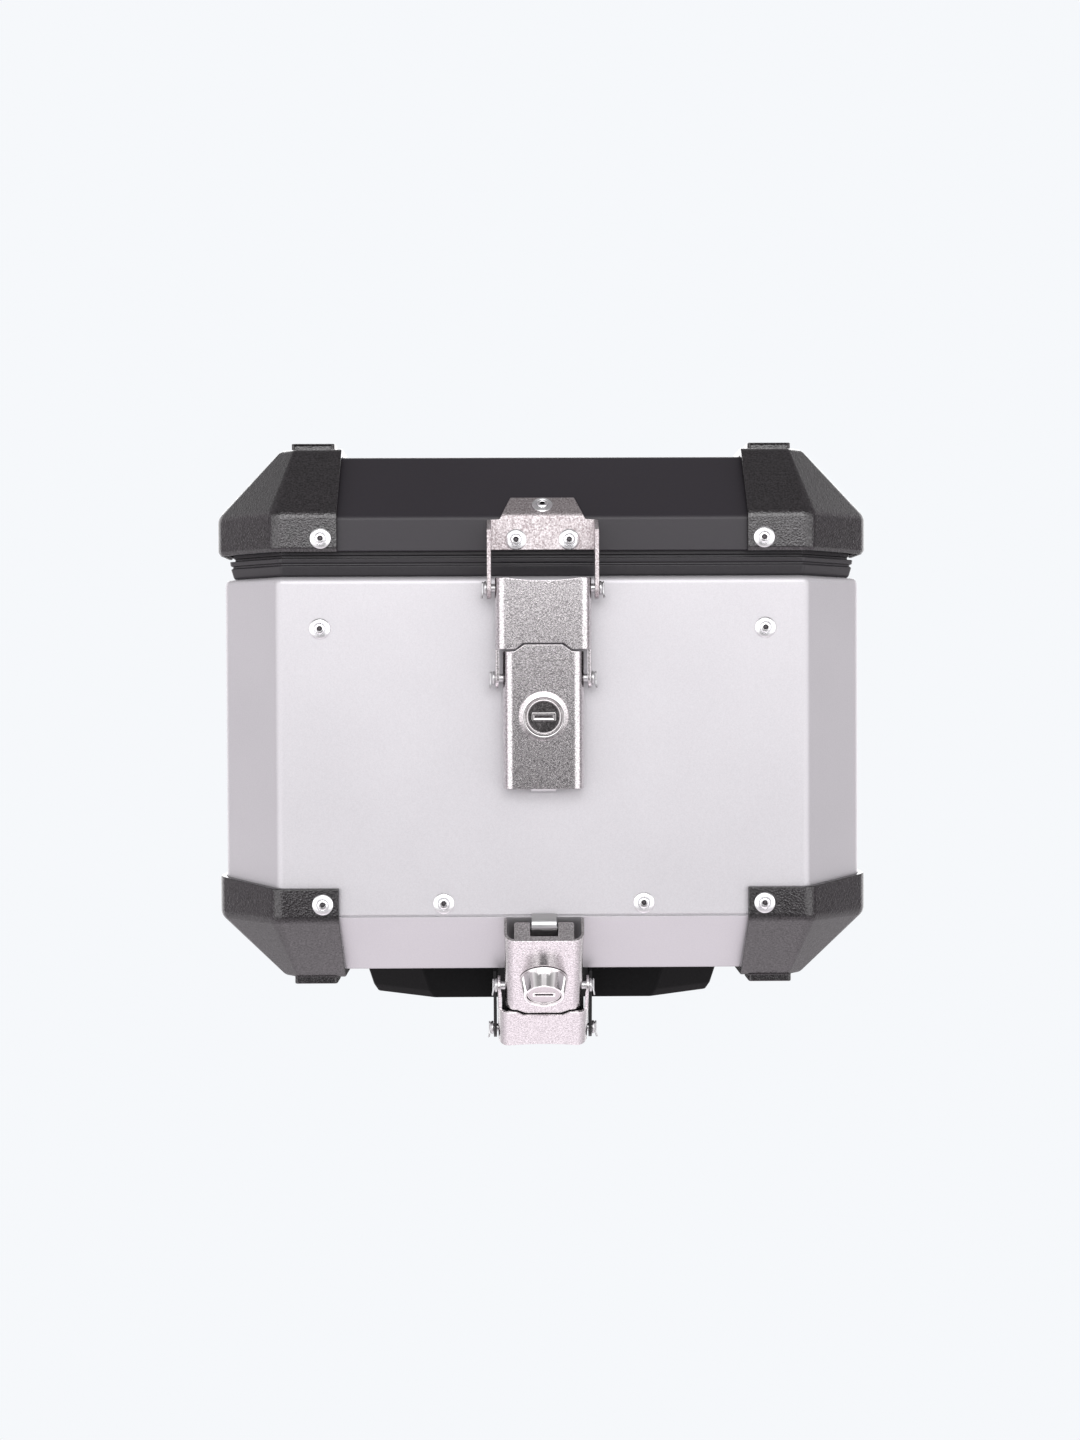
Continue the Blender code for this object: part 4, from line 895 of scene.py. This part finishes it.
def rivet_shape(head_r, grip, place):
    """Large-flange blind rivet: rounded flange, raised crown, and the broken mandrel down in its hole."""
    top = GAP + 0.0009
    behind = raised(-grip, [(0, -0.0035), (0.0024, -0.0032), (0.0036, -0.0020), (0.0024, 0)])
    rim = [(0.0024, GAP * 0.2), (head_r - 0.0001, GAP * 0.2), (head_r, GAP + 0.0002), (head_r, GAP + 0.0004)]
    flange = [(head_r - 0.0003, -0.0003), (head_r - 0.0009, 0), (0.0041, 0.0003), (0.0037, 0.0001)]
    crown = [(0.0035, -0.0003), (0.0034, 0.0004), (0.0031, 0.0008), (0.0025, 0.0011), (0.0018, 0.0011),
             (0.0015, 0.0008), (0.0014, -0.0006)]
    mandrel_end = [(0.0011, -0.0006), (0.0009, -0.0002), (0, -0.0001)]
    return lathe(behind + rim + raised(top, flange + crown + mandrel_end), place)


def add_rivet(name, point, axis, grip, body=None, head_r=RIVET_HEAD_R):
    """A rivet on a body. One with no body stands in for the CAD node of that name."""
    shape = rivet_shape(head_r, grip, axis_place(point, axis))
    if body:
        obj = piece(name, shape, "rivet_aluminium", body)
    else:
        obj = stand_in(name, shape, "rivet_aluminium")
    obj.data.materials.append(MATERIALS["mandrel"])
    axis = Vector(axis).normalized()
    # The mandrel's dark colour goes on its end and on the hole's walls round it; on the walls it is painted
    # shade.
    for face in obj.data.polygons:
        offset = face.center - Vector(point)
        height = offset.dot(axis)
        if height > 0 and (offset - axis * height).length < MANDREL_HOLE_R:
            face.material_index = 1
    finish_edges(obj)


def build_rivets():
    front = Vector((0, -1, 0))
    slope = Vector((0, -1, 1)).normalized()
    up_slope = Vector((0, 1, 1)).normalized() * BRACKET_RIVET_UP
    bracket_y = -(LID_HALF_D + GAP + BRACKET_SHEET)
    top_point = Vector((0, -LID_HALF_D, SKIRT_TOP_Z)) + up_slope + slope * (GAP + BRACKET_SHEET)
    add_rivet("rivet_bracket_top", top_point, slope, 0.0044)
    for side, sx in SIDES:
        guard_x = sx * GUARD_RIVET_X
        # The front rivets are CAD nodes. The rear ones are only here, so they need a body.
        for prefix, sy, lid_body, case_body in (("rivet", -1, None, None), ("rivet_rear", 1, "lid", "case")):
            lid_point = (guard_x, sy * (LID_HALF_D + GUARD_PROUD), GUARD_RIVET_LID_Z)
            base_point = (guard_x, sy * (SHELL_HALF_D + GUARD_PROUD), CASE_RIVET_LOW_Z)
            pan_point = (sx * PAN_RIVET_X, sy * SHELL_HALF_D, CASE_RIVET_LOW_Z)
            axis = (0, sy, 0)
            add_rivet(f"{prefix}_lid_guard_{side}", lid_point, axis, 0.0060, lid_body)
            add_rivet(f"{prefix}_base_guard_{side}", base_point, axis, 0.0078, case_body)
            add_rivet(f"{prefix}_pan_{side}", pan_point, axis, 0.0038, case_body)
        strap_point = (sx * CASE_RIVET_HIGH[0], -SHELL_HALF_D, CASE_RIVET_HIGH[1])
        add_rivet(f"rivet_strap_{side}", strap_point, front, 0.0022)
        bracket_point = (sx * BRACKET_RIVET[0], bracket_y, BRACKET_RIVET[1])
        add_rivet(f"rivet_bracket_{side}", bracket_point, front, 0.0044)
        stay_point = (sx * SHELL_HALF_W, sum(STRAP_Y) / 2, STRAP_ENDS_Z[0] - 0.008)
        add_rivet(f"rivet_stay_{side}", stay_point, (sx, 0, 0), 0.0034, "case", SMALL_HEAD_R)
        for index, step in enumerate(HINGE_RIVET_STEPS):
            for body, y, z in (("case", CASE_LEAF_Y, 0.238), ("lid", LID_HALF_D + GAP + 0.002, 0.2935)):
                add_rivet(f"rivet_{body}_leaf_{side}_{index}", (sx * HINGE_X + step, y, z), (0, 1, 0),
                          0.0040, body, SMALL_HEAD_R)


# ---- Latch sets --------------------------------------------------------------------------

class LatchFrame:
    """One latch: u runs across, v from the lever's pivot to the link's, w outward.

    face, side, section and lock are place() functions, and across makes one.
    """

    def __init__(self, prefix, sx):
        self.prefix = prefix
        pivot = JOINT_PLACES[f"{prefix}_lever_swing"]
        self.u = Vector((sx, 0, 0))
        v = (JOINT_PLACES[f"{prefix}_link_swing"] - pivot).normalized()
        self.w = self.u.cross(v)
        self.matrix = Matrix((self.u, v, self.w)).transposed().to_4x4()
        self.matrix.translation = pivot - self.w * PIVOT_W
        self.inverse = self.matrix.inverted()

    def face(self, u, v, w):
        return self.matrix @ Vector((u, v, w))

    def side(self, v, w, u):
        return self.face(u, v, w)

    def section(self, u, w, v):
        return self.face(u, v, w)

    def across(self, v0):
        """Turned pieces whose axis runs across the latch through a pivot at v0."""
        return lambda a, b, c: self.side(v0 + a, PIVOT_W + b, c)

    def lock(self, a, b, c):
        return self.face(a, LOCK_V + b, c)

    def catch_w(self, v):
        """Height of the catch's outer face."""
        if self.prefix == "lower":
            return GAP + CATCH_SHEET
        on_face = Vector((0, -(SHELL_HALF_D + GAP + CATCH_SHEET), self.face(0, v, 0).z))
        return (self.inverse @ on_face).z


def channel_section(half_u, low_w, top):
    """U section with its open side towards the case."""
    bend_u, bend_w = half_u - LATCH_BEND, top - LATCH_BEND
    right = partial(arc, (bend_u, bend_w), steps=BEND_STEPS)
    left = partial(arc, (-bend_u, bend_w), steps=BEND_STEPS)
    inner_r, inner_u = LATCH_BEND - LATCH_SHEET, half_u - LATCH_SHEET
    outer = [(half_u, low_w), *right(LATCH_BEND, 0, 90), *left(LATCH_BEND, 90, 180), (-half_u, low_w)]
    return outer + [(-inner_u, low_w), *left(inner_r, 180, 90), *right(inner_r, 90, 0), (inner_u, low_w)]


def build_link(latch):
    """Wide channel with a leg each side: one end turns on the bracket, the other carries the lever."""
    shape = prism(channel_section(LINK_HALF_U, 0.002, LATCH_FACE_W), -0.010, LINK_END_V, latch.section)
    obj = stand_in(f"{latch.prefix}_latch_link", shape, "latch_steel")
    above = LATCH_FACE_W + MARGIN
    silhouette = arc((0, PIVOT_W), EYE_R, 90, 270, 24) + arc((LINK_PIVOT_V, PIVOT_W), EYE_R, -90, 0, 10)
    silhouette += [(LINK_END_V, above), (LINK_EDGE_V, above), (LINK_EDGE_V, PIVOT_W + EYE_R)]
    trim(obj, prism(silhouette, -THROUGH, THROUGH, latch.side))
    notch = trapezoid(LINK_EDGE_V - MARGIN, NOTCH_V, *NOTCH_HALF_U)
    reach = LINK_HALF_U - LATCH_BEND
    spread = [-1 + i / 6 for i in range(13)]
    hollow = [(reach * s, LINK_END_V + 0.0001 - LINK_DIP * (1 - s * s)) for s in spread]
    hollow += [(reach, LINK_END_V + 0.004), (-reach, LINK_END_V + 0.004)]
    low, high = LATCH_FACE_W - 0.006, LATCH_FACE_W + 0.002
    cut(obj, merged(prism(notch, low, high, latch.face), prism(hollow, low, high, latch.face)))
    holes = [rod(LATCH_PIN_R + GAP, -THROUGH, THROUGH, latch.across(v)) for v in (0, LINK_PIVOT_V)]
    cut(obj, merged(*holes))
    finish_edges(obj, LATCH_EDGE)


def build_lever(latch):
    """Narrow channel with the lock: a tab for the link's notch, and an end plate slotted for the tongue."""
    low_w = 0.0015
    shape = prism(channel_section(LEVER_HALF_U, low_w, LEVER_FACE_W), LEVER_END_V, LEVER_TAB_V, latch.section)
    obj = stand_in(f"{latch.prefix}_latch_lever", shape, "latch_steel")
    plate_v = LEVER_END_V + 0.0030
    plate = rounded(trapezoid(0.0025, 0.0170, 0.0181, 0.0181), 0.0016, 5)
    join(obj, prism(plate, plate_v, plate_v + 0.0015, latch.section))
    slot = trapezoid(0.0, 0.0125, 0.0083, 0.0083)
    cut(obj, prism(slot, plate_v - MARGIN, plate_v + 0.0025, latch.section))
    claw = plan_box((0.0080, 0.0100), (0.0081, 0.0170))
    join(obj, prism(claw, -CATCH_HALF_U + 0.001, CATCH_HALF_U - 0.001, latch.side))
    end_v, tab_v, above = LEVER_END_V - MARGIN, LEVER_TAB_V + MARGIN, LEVER_FACE_W + MARGIN
    silhouette = [(end_v, low_w), (-0.004, low_w), *arc((0, PIVOT_W), EYE_R, -60, 10, 12), (0.0078, 0.0078),
                  (0.0102, 0.0078), (tab_v, 0.0140), (tab_v, above), (end_v, above)]
    trim(obj, prism(silhouette, -THROUGH, THROUGH, latch.side))
    wide = LEVER_HALF_U + MARGIN
    shoulder, tip = LEVER_TAB_HALF_U
    tab = [(-wide, end_v), (wide, end_v), (wide, LEVER_EDGE_V), (shoulder, LEVER_EDGE_V),
           (tip, LEVER_TAB_V), (-tip, LEVER_TAB_V), (-shoulder, LEVER_EDGE_V), (-wide, LEVER_EDGE_V)]
    trim(obj, prism(tab, 0.0, 0.03, latch.face))
    pin_hole = rod(LATCH_PIN_R + GAP, -THROUGH, THROUGH, latch.across(0))
    cut(obj, merged(pin_hole, rod(LOCK_BARREL_R + GAP, 0.014, 0.024, latch.lock, 40)))
    finish_edges(obj, LATCH_EDGE)


def build_latch_pin(latch, kind, v, reach):
    """Shaft across the latch with a riveted head outside each wall."""
    head_r, head = 0.0042, 0.0020
    right = raised(reach, [
        (LATCH_PIN_R, 0), (head_r - 0.0002, 0), (head_r, 0.0003), (head_r, 0.0010), (head_r - 0.0004, 0.0015),
        (head_r - 0.0012, 0.0019), (0.0012, head), (0, head)])
    left = [(r, -h) for r, h in reversed(right)]
    shape = lathe(left + right, latch.across(v), 32)
    finish_edges(stand_in(f"{latch.prefix}_{kind}_pin", shape, "lock_chrome", "zinc"))


def build_cotters(latch, v, reach):
    """Split pin through each end of a pivot pin: a loop above and two tails that hang below."""
    # Each row: how far below the pin, how far from the middle in half spacings, how far out from the latch.
    course = ((-0.0036, 0.3, 0), (-0.0028, 1.4, 0), (-0.0012, 1.1, 0), (0, 1, 0), (0.0022, 1, 0),
              (0.0040, 1.6, 0.0002), (0.0058, 3, 0.0006))
    wire_r, half_spacing, off_wall = 0.00055, 0.0007, 0.0024
    shapes = []
    for sx in (-1, 1):
        centre = latch.across(v)(0, 0, sx * (reach + off_wall))
        for spread in (-half_spacing, half_spacing):
            path = [Vector((sx * latch.u.x * out, spread * apart, -down)) for down, apart, out in course]
            shapes.append(wire([centre + point for point in path], wire_r))
    return shapes


def build_lock(latch):
    """Key lock: stepped chrome bezel, barrel, and the plug with its keyway. The nut is the CAD node's."""
    seat = LEVER_FACE_W + GAP
    top = LATCH_FACE_W + GAP + LOCK_BEZEL_H
    front = top - 0.0012
    barrel_end = 0.0068
    bore = LOCK_PLUG_R + 0.0002
    throat = 0.0070
    low_r, top_r = LOCK_BEZEL_R
    barrel = [(throat, barrel_end), (LOCK_BARREL_R, barrel_end), (LOCK_BARREL_R, seat)]
    barrel += raised(seat, [(low_r - 0.0002, 0), (low_r, 0.0002), (low_r, 0.0004), (low_r - 0.0003, 0.0007)])
    barrel += raised(top, [
        (top_r, -0.0009), (top_r - 0.0001, -0.0004), (top_r - 0.0002, -0.0001), (top_r - 0.0005, 0),
        (top_r - 0.0010, -0.0001), (top_r - 0.0012, -0.0004), (bore + 0.0003, -0.0004), (bore, -0.0007),
        (bore, -0.0050), (throat, -0.0050)])
    barrel_shape = lathe(barrel, latch.lock, 64, closed=True)
    finish_edges(stand_in(f"{latch.prefix}_lock_barrel", barrel_shape, "lock_chrome"))
    plug_r = LOCK_PLUG_R - 0.0001
    plug = raised(barrel_end, [(0, -0.0004), (0.0030, -0.0004), (0.0030, 0.0003), (throat - GAP, 0.0003)])
    plug += [(throat - GAP, top - 0.0047), (plug_r, top - 0.0047)]
    plug += raised(front, [
        (plug_r, -0.0003), (plug_r - 0.0003, 0), (plug_r - 0.0007, 0), (plug_r - 0.0009, -0.0004),
        (plug_r - 0.0011, -0.0004), (0, -0.0004)])
    obj = stand_in(f"{latch.prefix}_lock_plug", lathe(plug, latch.lock, 56), "plug_metal")
    frame_half = Vector((0.0069, 0.0023))
    join(obj, prism(rounded(rectangle(*frame_half), 0.0005, 3), front - 0.0010, front, latch.lock))
    cut(obj, prism(rectangle(0.0060, 0.0015), front - 0.0006, front + MARGIN, latch.lock))     # sunk panel
    cut(obj, prism(rectangle(0.0055, 0.0010), front - 0.0035, front + MARGIN, latch.lock))     # keyway
    finish_edges(obj, 0.00012)
    obj.data.materials.append(MATERIALS["lock_chrome"])
    for face in obj.data.polygons:
        spot = latch.inverse @ face.center
        offset = Vector((spot.x, spot.y - LOCK_V))
        on_frame = abs(offset.x) < frame_half.x + 1e-4 and abs(offset.y) < frame_half.y + 1e-4
        on_edge = offset.length > plug_r - 0.0008
        if spot.z > front - 0.0030 and (on_frame or on_edge):
            face.material_index = 1


def build_catch(latch):
    """Folded strip on the case: a lip for the lever's claw, and a bent tongue in the lever's end."""
    sheet, bend = CATCH_SHEET, 0.0042
    tongue_v = LEVER_END_V - 0.0012
    out_v = tongue_v - sheet
    top_w = TONGUE_W + sheet

    def inner(v):
        """Point of the strip's outline on the face towards the case."""
        return v, latch.catch_w(v) - sheet

    def outer(v):
        return v, latch.catch_w(v)

    wide = [inner(-0.0550), inner(0.0165), (0.0165, 0.0075), (0.0125, 0.0075), (0.0125, 0.0060),
            (0.0145, 0.0060), outer(0.0145), outer(-0.0550)]
    shape = prism(wide, -CATCH_HALF_U, CATCH_HALF_U, latch.side)
    obj = stand_in(f"{latch.prefix}_catch", shape, "latch_steel", "zinc")
    bend_centre = (out_v + bend, top_w - bend)
    strip = [inner(-0.0560), outer(-0.0560), outer(tongue_v), *arc(bend_centre, bend - sheet, 180, 90, 8),
             (-0.0345, TONGUE_W), (-0.0345, top_w), *arc(bend_centre, bend, 90, 180, 12), inner(out_v)]
    join(obj, prism(strip, -TONGUE_HALF_U, TONGUE_HALF_U, latch.side))
    finish_edges(obj, 0.0003)


def build_latch(prefix, sx, pin_reach):
    latch = LatchFrame(prefix, sx)
    lever_reach = LINK_HALF_U + GAP
    build_link(latch)
    build_lever(latch)
    build_latch_pin(latch, "link", LINK_PIVOT_V, pin_reach)
    build_latch_pin(latch, "lever", 0.0, lever_reach)
    cotters = merged(*build_cotters(latch, LINK_PIVOT_V, pin_reach), *build_cotters(latch, 0.0, lever_reach))
    finish_edges(piece(f"{prefix}_cotter_pins", cotters, "latch_steel", f"{prefix}_link", material="zinc"))
    build_lock(latch)
    build_catch(latch)
    # The upper catch lies on the upright front, the lower one on the pan's slope.
    axis = (0, -1, 0) if prefix == "upper" else latch.w
    for index, v in enumerate((-0.026, 0.001)):
        add_rivet(f"rivet_{prefix}_catch_{index}", latch.face(0, v, latch.catch_w(v)), axis, 0.0040, "case",
                  SMALL_HEAD_R)


# ---- Base plate --------------------------------------------------------------------------

def build_base_plate():
    """Moulded tray with a turned-in lower lip and four slots for the rack's bolts."""
    section = [
        (tray_foot, FLAT_INSET, 0.0, 0), (tray_foot, 0, 0.0, 0.0008), (tray_lip, 0, BASE_LIP_Z, 0.0008),
        (tray_rim, 0, BASE_TOP_Z, 0.0006), (tray_rim, BASE_WALL, BASE_TOP_Z, 0.0006),
        (tray_lip, BASE_WALL, BASE_FLOOR_Z, 0.0020), (tray_foot, FLAT_INSET, BASE_FLOOR_Z, 0)]
    obj = stand_in("base_plate", loft(section), "base_plastic")
    width, length = BOLT_SLOT
    shift = (length - width) / 2
    slots = []
    for x, y in BOLT_SLOT_PLACES:
        ends = arc((x, y + shift), width / 2, 0, 180, 14) + arc((x, y - shift), width / 2, 180, 360, 14)
        slots.append(prism(ends, -0.01, 0.02, upright))
    cut(obj, merged(*slots))
    finish_edges(obj, 0.0004, angle=50)


# ---- Stay straps -------------------------------------------------------------------------

def strap_path():
    """Middle line of the folded strap in (x, z): down the wall, round the fold, up to the lid."""
    outer_r = (STRAP_WALL_X - STRAP_INNER_X + STRAP_THICKNESS) / 2
    centre = (STRAP_WALL_X - outer_r, STRAP_FOLD_Z + outer_r)
    middle_r = outer_r - STRAP_THICKNESS / 2
    right_x, left_x = centre[0] + middle_r, centre[0] - middle_r
    spacing = 0.003
    down, up = (end - centre[1] for end in STRAP_ENDS_Z)
    down_steps, up_steps = int(down / spacing), int(up / spacing)
    path = [(right_x, STRAP_ENDS_Z[0] - down * i / down_steps) for i in range(down_steps)]
    path += arc(centre, middle_r, 0, -180, 16)
    path += [(left_x, centre[1] + up * i / up_steps) for i in range(1, up_steps + 1)]
    return [Vector(p) for p in path]


def build_strap(side, sx):
    """Webbing swept along its path, with rounded selvedges and a fold between case and lid. It is on no body.
    """
    half = STRAP_THICKNESS / 2
    low, high = STRAP_Y
    edge = 0.0006
    section = [(low + edge, half), (high - edge, half), (high, half * 0.3), (high, -half * 0.3),
               (high - edge, -half), (low + edge, -half), (low, -half * 0.3), (low, half * 0.3)]
    path = strap_path()
    rings = []
    for i, point in enumerate(path):
        along = heading(path, i)
        spots = [(y, point + Vector((-along.y, along.x)) * lift) for y, lift in section]
        rings.append([(sx * spot.x, y, spot.y) for y, spot in spots])
    obj = piece(f"fine_stay_strap_{side}", skin(rings), "strap_webbing", None, (f"stay_strap_{side}",))
    finish_edges(obj)
    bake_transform(obj)


# ---- Carried-over CAD nodes --------------------------------------------------------------

def combinations(pattern, *choices):
    return [pattern.format(*names) for names in product(*choices)]


FLAT_ANGLE = math.radians(1)     # faces that meet at less are one face
SIDE_NAMES = [side for side, _ in SIDES]
END_NAMES = [end for end, _ in ENDS]
KEPT_NODES = {     # material: (nodes, width of the rounded edges)
    "zinc": (combinations("hinge_{1}_{0}", SIDE_NAMES, ("case_leaf", "lid_leaf", "pin")), 0.0003),
    "black_steel": (["dock_plate", "base_hook", "base_latch_bracket"], 0.0004),
    "seal_rubber": (combinations("buffer_{}_{}", END_NAMES, SIDE_NAMES), 0.0006),
    "latch_steel": (combinations("{}_lock_{}", ("upper", "lower"), ("nut", "cam")), 0.0002),
    "foam": (["lid_gasket"], 0.0004),
}


def dress_kept_nodes():
    for material, (nodes, width) in KEPT_NODES.items():
        for name in nodes:
            node = frame["nodes"][name]
            for slot in node.material_slots:
                slot.material = MATERIALS[material]
            add_modifier(node, "weld", "WELD", merge_threshold=WELD_REACH)
            add_modifier(node, "flat_faces", "DECIMATE", decimate_type="DISSOLVE", angle_limit=FLAT_ANGLE)
            add_bevel(node, width, 2, 40)
            add_modifier(node, "normals", "WEIGHTED_NORMAL", keep_sharp=True)


# ---- Stage, light and camera -------------------------------------------------------------

def build_floor():
    """Pale floor that blends into the backdrop. Only the camera sees it: the world lights the undersides."""
    bm = bmesh.new()
    bmesh.ops.create_grid(bm, x_segments=1, y_segments=1, size=30.0)
    for vertex in bm.verts:
        vertex.co.z = FLOOR_Z
    floor = link("floor", as_mesh(bm, "floor"))
    material = bpy.data.materials.new("pale_floor")
    material.use_nodes = True
    material.node_tree.nodes.clear()
    n = Nodes(material.node_tree)
    n.new("OutputMaterial", {"Surface": n.new("Emission", {"Color": (*BACKDROP, 1.0)}).outputs[0]})
    floor.data.materials.append(material)
    floor.visible_diffuse = floor.visible_glossy = floor.visible_transmission = floor.visible_shadow = False


# Brightness of the surroundings by the sine of their height: in front and behind, in the softboxes on both
# sides of the camera, and square to the sides.
AHEAD = ((-1.0, 1.55), (-0.93, 1.45), (-0.85, 1.0), (-0.50, 0.55), (-0.30, 0.22), (-0.15, 0.18),
         (-0.07, 0.45), (-0.01, 1.0), (0.06, 2.3), (0.14, 2.9), (0.45, 2.8), (0.62, 1.4), (0.80, 0.45),
         (0.95, 0.36))
SOFTBOXES = ((-1.0, 1.50), (-0.85, 1.0), (-0.6, 0.70), (-0.4, 1.0), (-0.2, 1.85), (0.30, 1.85), (0.50, 0.90),
             (0.65, 0.34), (1.0, 0.33))
ASIDE = ((-1.0, 1.50), (-0.85, 1.0), (-0.5, 0.85), (-0.2, 0.52), (0.0, 0.46), (0.30, 0.50), (0.60, 0.46),
         (0.85, 0.36), (1.0, 0.33))
BRIGHTEST = 4.0
# Where one zone gives way to the next, by the sine of the bearing from straight ahead.
SOFTBOXES_FROM = (0.22, 0.40)
ASIDE_FROM = (0.90, 0.97)
WARM_BELOW = (-0.3, -0.8)     # sine of the height


class Surroundings(Nodes):
    """The world's node tree, in terms of the direction (x, y, z) that is looked in."""

    def share(self, value, low, high):
        """0 at low, 1 at high, and smooth between."""
        return self.remap(value, 0.0, 1.0, (low, high), "SMOOTHSTEP")

    def crossfade(self, share, first, second):
        return self.math("ADD", self.math("MULTIPLY", first, self.math("SUBTRACT", 1.0, share)),
                         self.math("MULTIPLY", second, share))

    def curve(self, value, stops):
        """Brightness through (position, value) stops, for positions from -1 to 1."""
        ramp = self.new("ValToRGB", {"Fac": self.remap(value, 0.0, 1.0, (-1.0, 1.0))})
        while len(ramp.color_ramp.elements) < len(stops):
            ramp.color_ramp.elements.new(0.5)
        for element, (position, brightness) in zip(ramp.color_ramp.elements, stops):
            element.position = (position + 1) / 2
            element.color = (*[brightness / BRIGHTEST] * 3, 1.0)
        return self.math("MULTIPLY", ramp.outputs["Color"], BRIGHTEST)


def build_world():
    """Studio surroundings for light and reflections. The camera itself sees an even pale backdrop."""
    world = bpy.data.worlds.new("studio")
    bpy.context.scene.world = world
    world.use_nodes = True
    world.node_tree.nodes.clear()
    n = Surroundings(world.node_tree)
    direction = n.new("TexCoord").outputs["Generated"]
    split = n.new("SeparateXYZ", {0: direction})
    x, z = split.outputs["X"], split.outputs["Z"]
    level_square = n.math("SUBTRACT", 1.0, n.math("MULTIPLY", z, z))
    level_length = n.math("SQRT", n.math("MAXIMUM", level_square, 0.0001))
    bearing = n.math("DIVIDE", n.math("ABSOLUTE", x), level_length)
    aside = n.math("MULTIPLY", n.curve(z, ASIDE), n.math("MULTIPLY_ADD", x, -0.18, 1.02))
    ahead = n.crossfade(n.share(bearing, *SOFTBOXES_FROM), n.curve(z, AHEAD), n.curve(z, SOFTBOXES))
    sideways = n.share(bearing, *ASIDE_FROM)
    # Where the camera and its stand would be mirrored, the surroundings are dark.
    off_camera = n.new("VectorMath", {0: direction, 1: (0.0, -1.0, -0.10)}, operation="DISTANCE")
    dimmed = n.math("MULTIPLY_ADD", n.share(off_camera.outputs["Value"], 0.05, 0.14), 0.88, 0.12)
    brightness = n.math("MULTIPLY", n.crossfade(sideways, ahead, aside), dimmed)
    warmth = n.math("MAXIMUM", n.share(z, *WARM_BELOW), sideways)
    tint = n.blend(warmth, (1.0, 0.985, 1.0), (1.0, 0.93, 0.985))
    lit = n.new("Background", {"Color": tint, "Strength": brightness})
    seen = n.new("Background", {"Color": (*BACKDROP, 1.0)})
    by_camera = n.new("LightPath").outputs["Is Camera Ray"]
    choose = n.new("MixShader", {0: by_camera, 1: lit.outputs[0], 2: seen.outputs[0]})
    n.new("OutputWorld", {"Surface": choose.outputs[0]})


def add_softbox(name, place, size, energy, target=(0, 0, 0.18)):
    light = bpy.data.lights.new(name, "AREA")
    light.shape = "RECTANGLE"
    light.size, light.size_y = size
    light.energy = energy
    obj = link(name, light)
    obj.location = place
    obj.rotation_euler = (Vector(target) - Vector(place)).to_track_quat("-Z", "Y").to_euler()
    obj.visible_camera = False


def turn(angle, first, second):
    """Rows of a turn from one axis towards another."""
    rows = Matrix.Identity(3)
    rows[first][first] = rows[second][second] = math.cos(angle)
    rows[first][second] = math.sin(angle)
    rows[second][first] = -math.sin(angle)
    return rows


def build_camera():
    """Camera in front of the latches, at the height of the case's upper half."""
    yaw, pitch, roll = -0.0112, -0.0194, -0.0041
    camera = bpy.data.cameras.new("camera")
    camera.sensor_width = 36.0
    camera.lens = FOCAL_PIXELS / IMAGE_HEIGHT * camera.sensor_width
    right, forward, up = turn(roll, 0, 2) @ turn(pitch, 1, 2) @ turn(yaw, 0, 1)
    matrix = Matrix((right, up, -forward)).transposed().to_4x4()
    matrix.translation = Vector((-0.0154, -1.3868, 0.2032))
    obj = link("camera", camera)
    obj.matrix_world = matrix
    bpy.context.scene.camera = obj


# ---- Assembly ----------------------------------------------------------------------------

def build_all():
    build_body_shell()
    build_bottom_pan()
    build_rim_seal()
    build_lid_shell()
    build_lid_bracket()
    build_base_plate()
    for end, sy in ENDS:
        for side, sx in SIDES:
            build_base_guard(f"base_guard_{end}_{side}", sx, sy)
            build_lid_guard(f"lid_guard_{end}_{side}", sx, sy)
    build_rivets()
    build_latch("upper", 1, BRACKET_HALF_U + BRACKET_SHEET + GAP)
    build_latch("lower", -1, EAR_REACH + GAP)
    for side, sx in SIDES:
        build_strap(side, sx)
    dress_kept_nodes()


build_all()
build_floor()
build_world()
add_softbox("key_front", (0.0, -2.0, 1.15), (2.4, 0.7), 8)
add_softbox("rear_fill", (0.0, 2.4, 1.3), (2.4, 1.0), 14)
build_camera()
bpy.context.scene.view_settings.view_transform = "Standard"
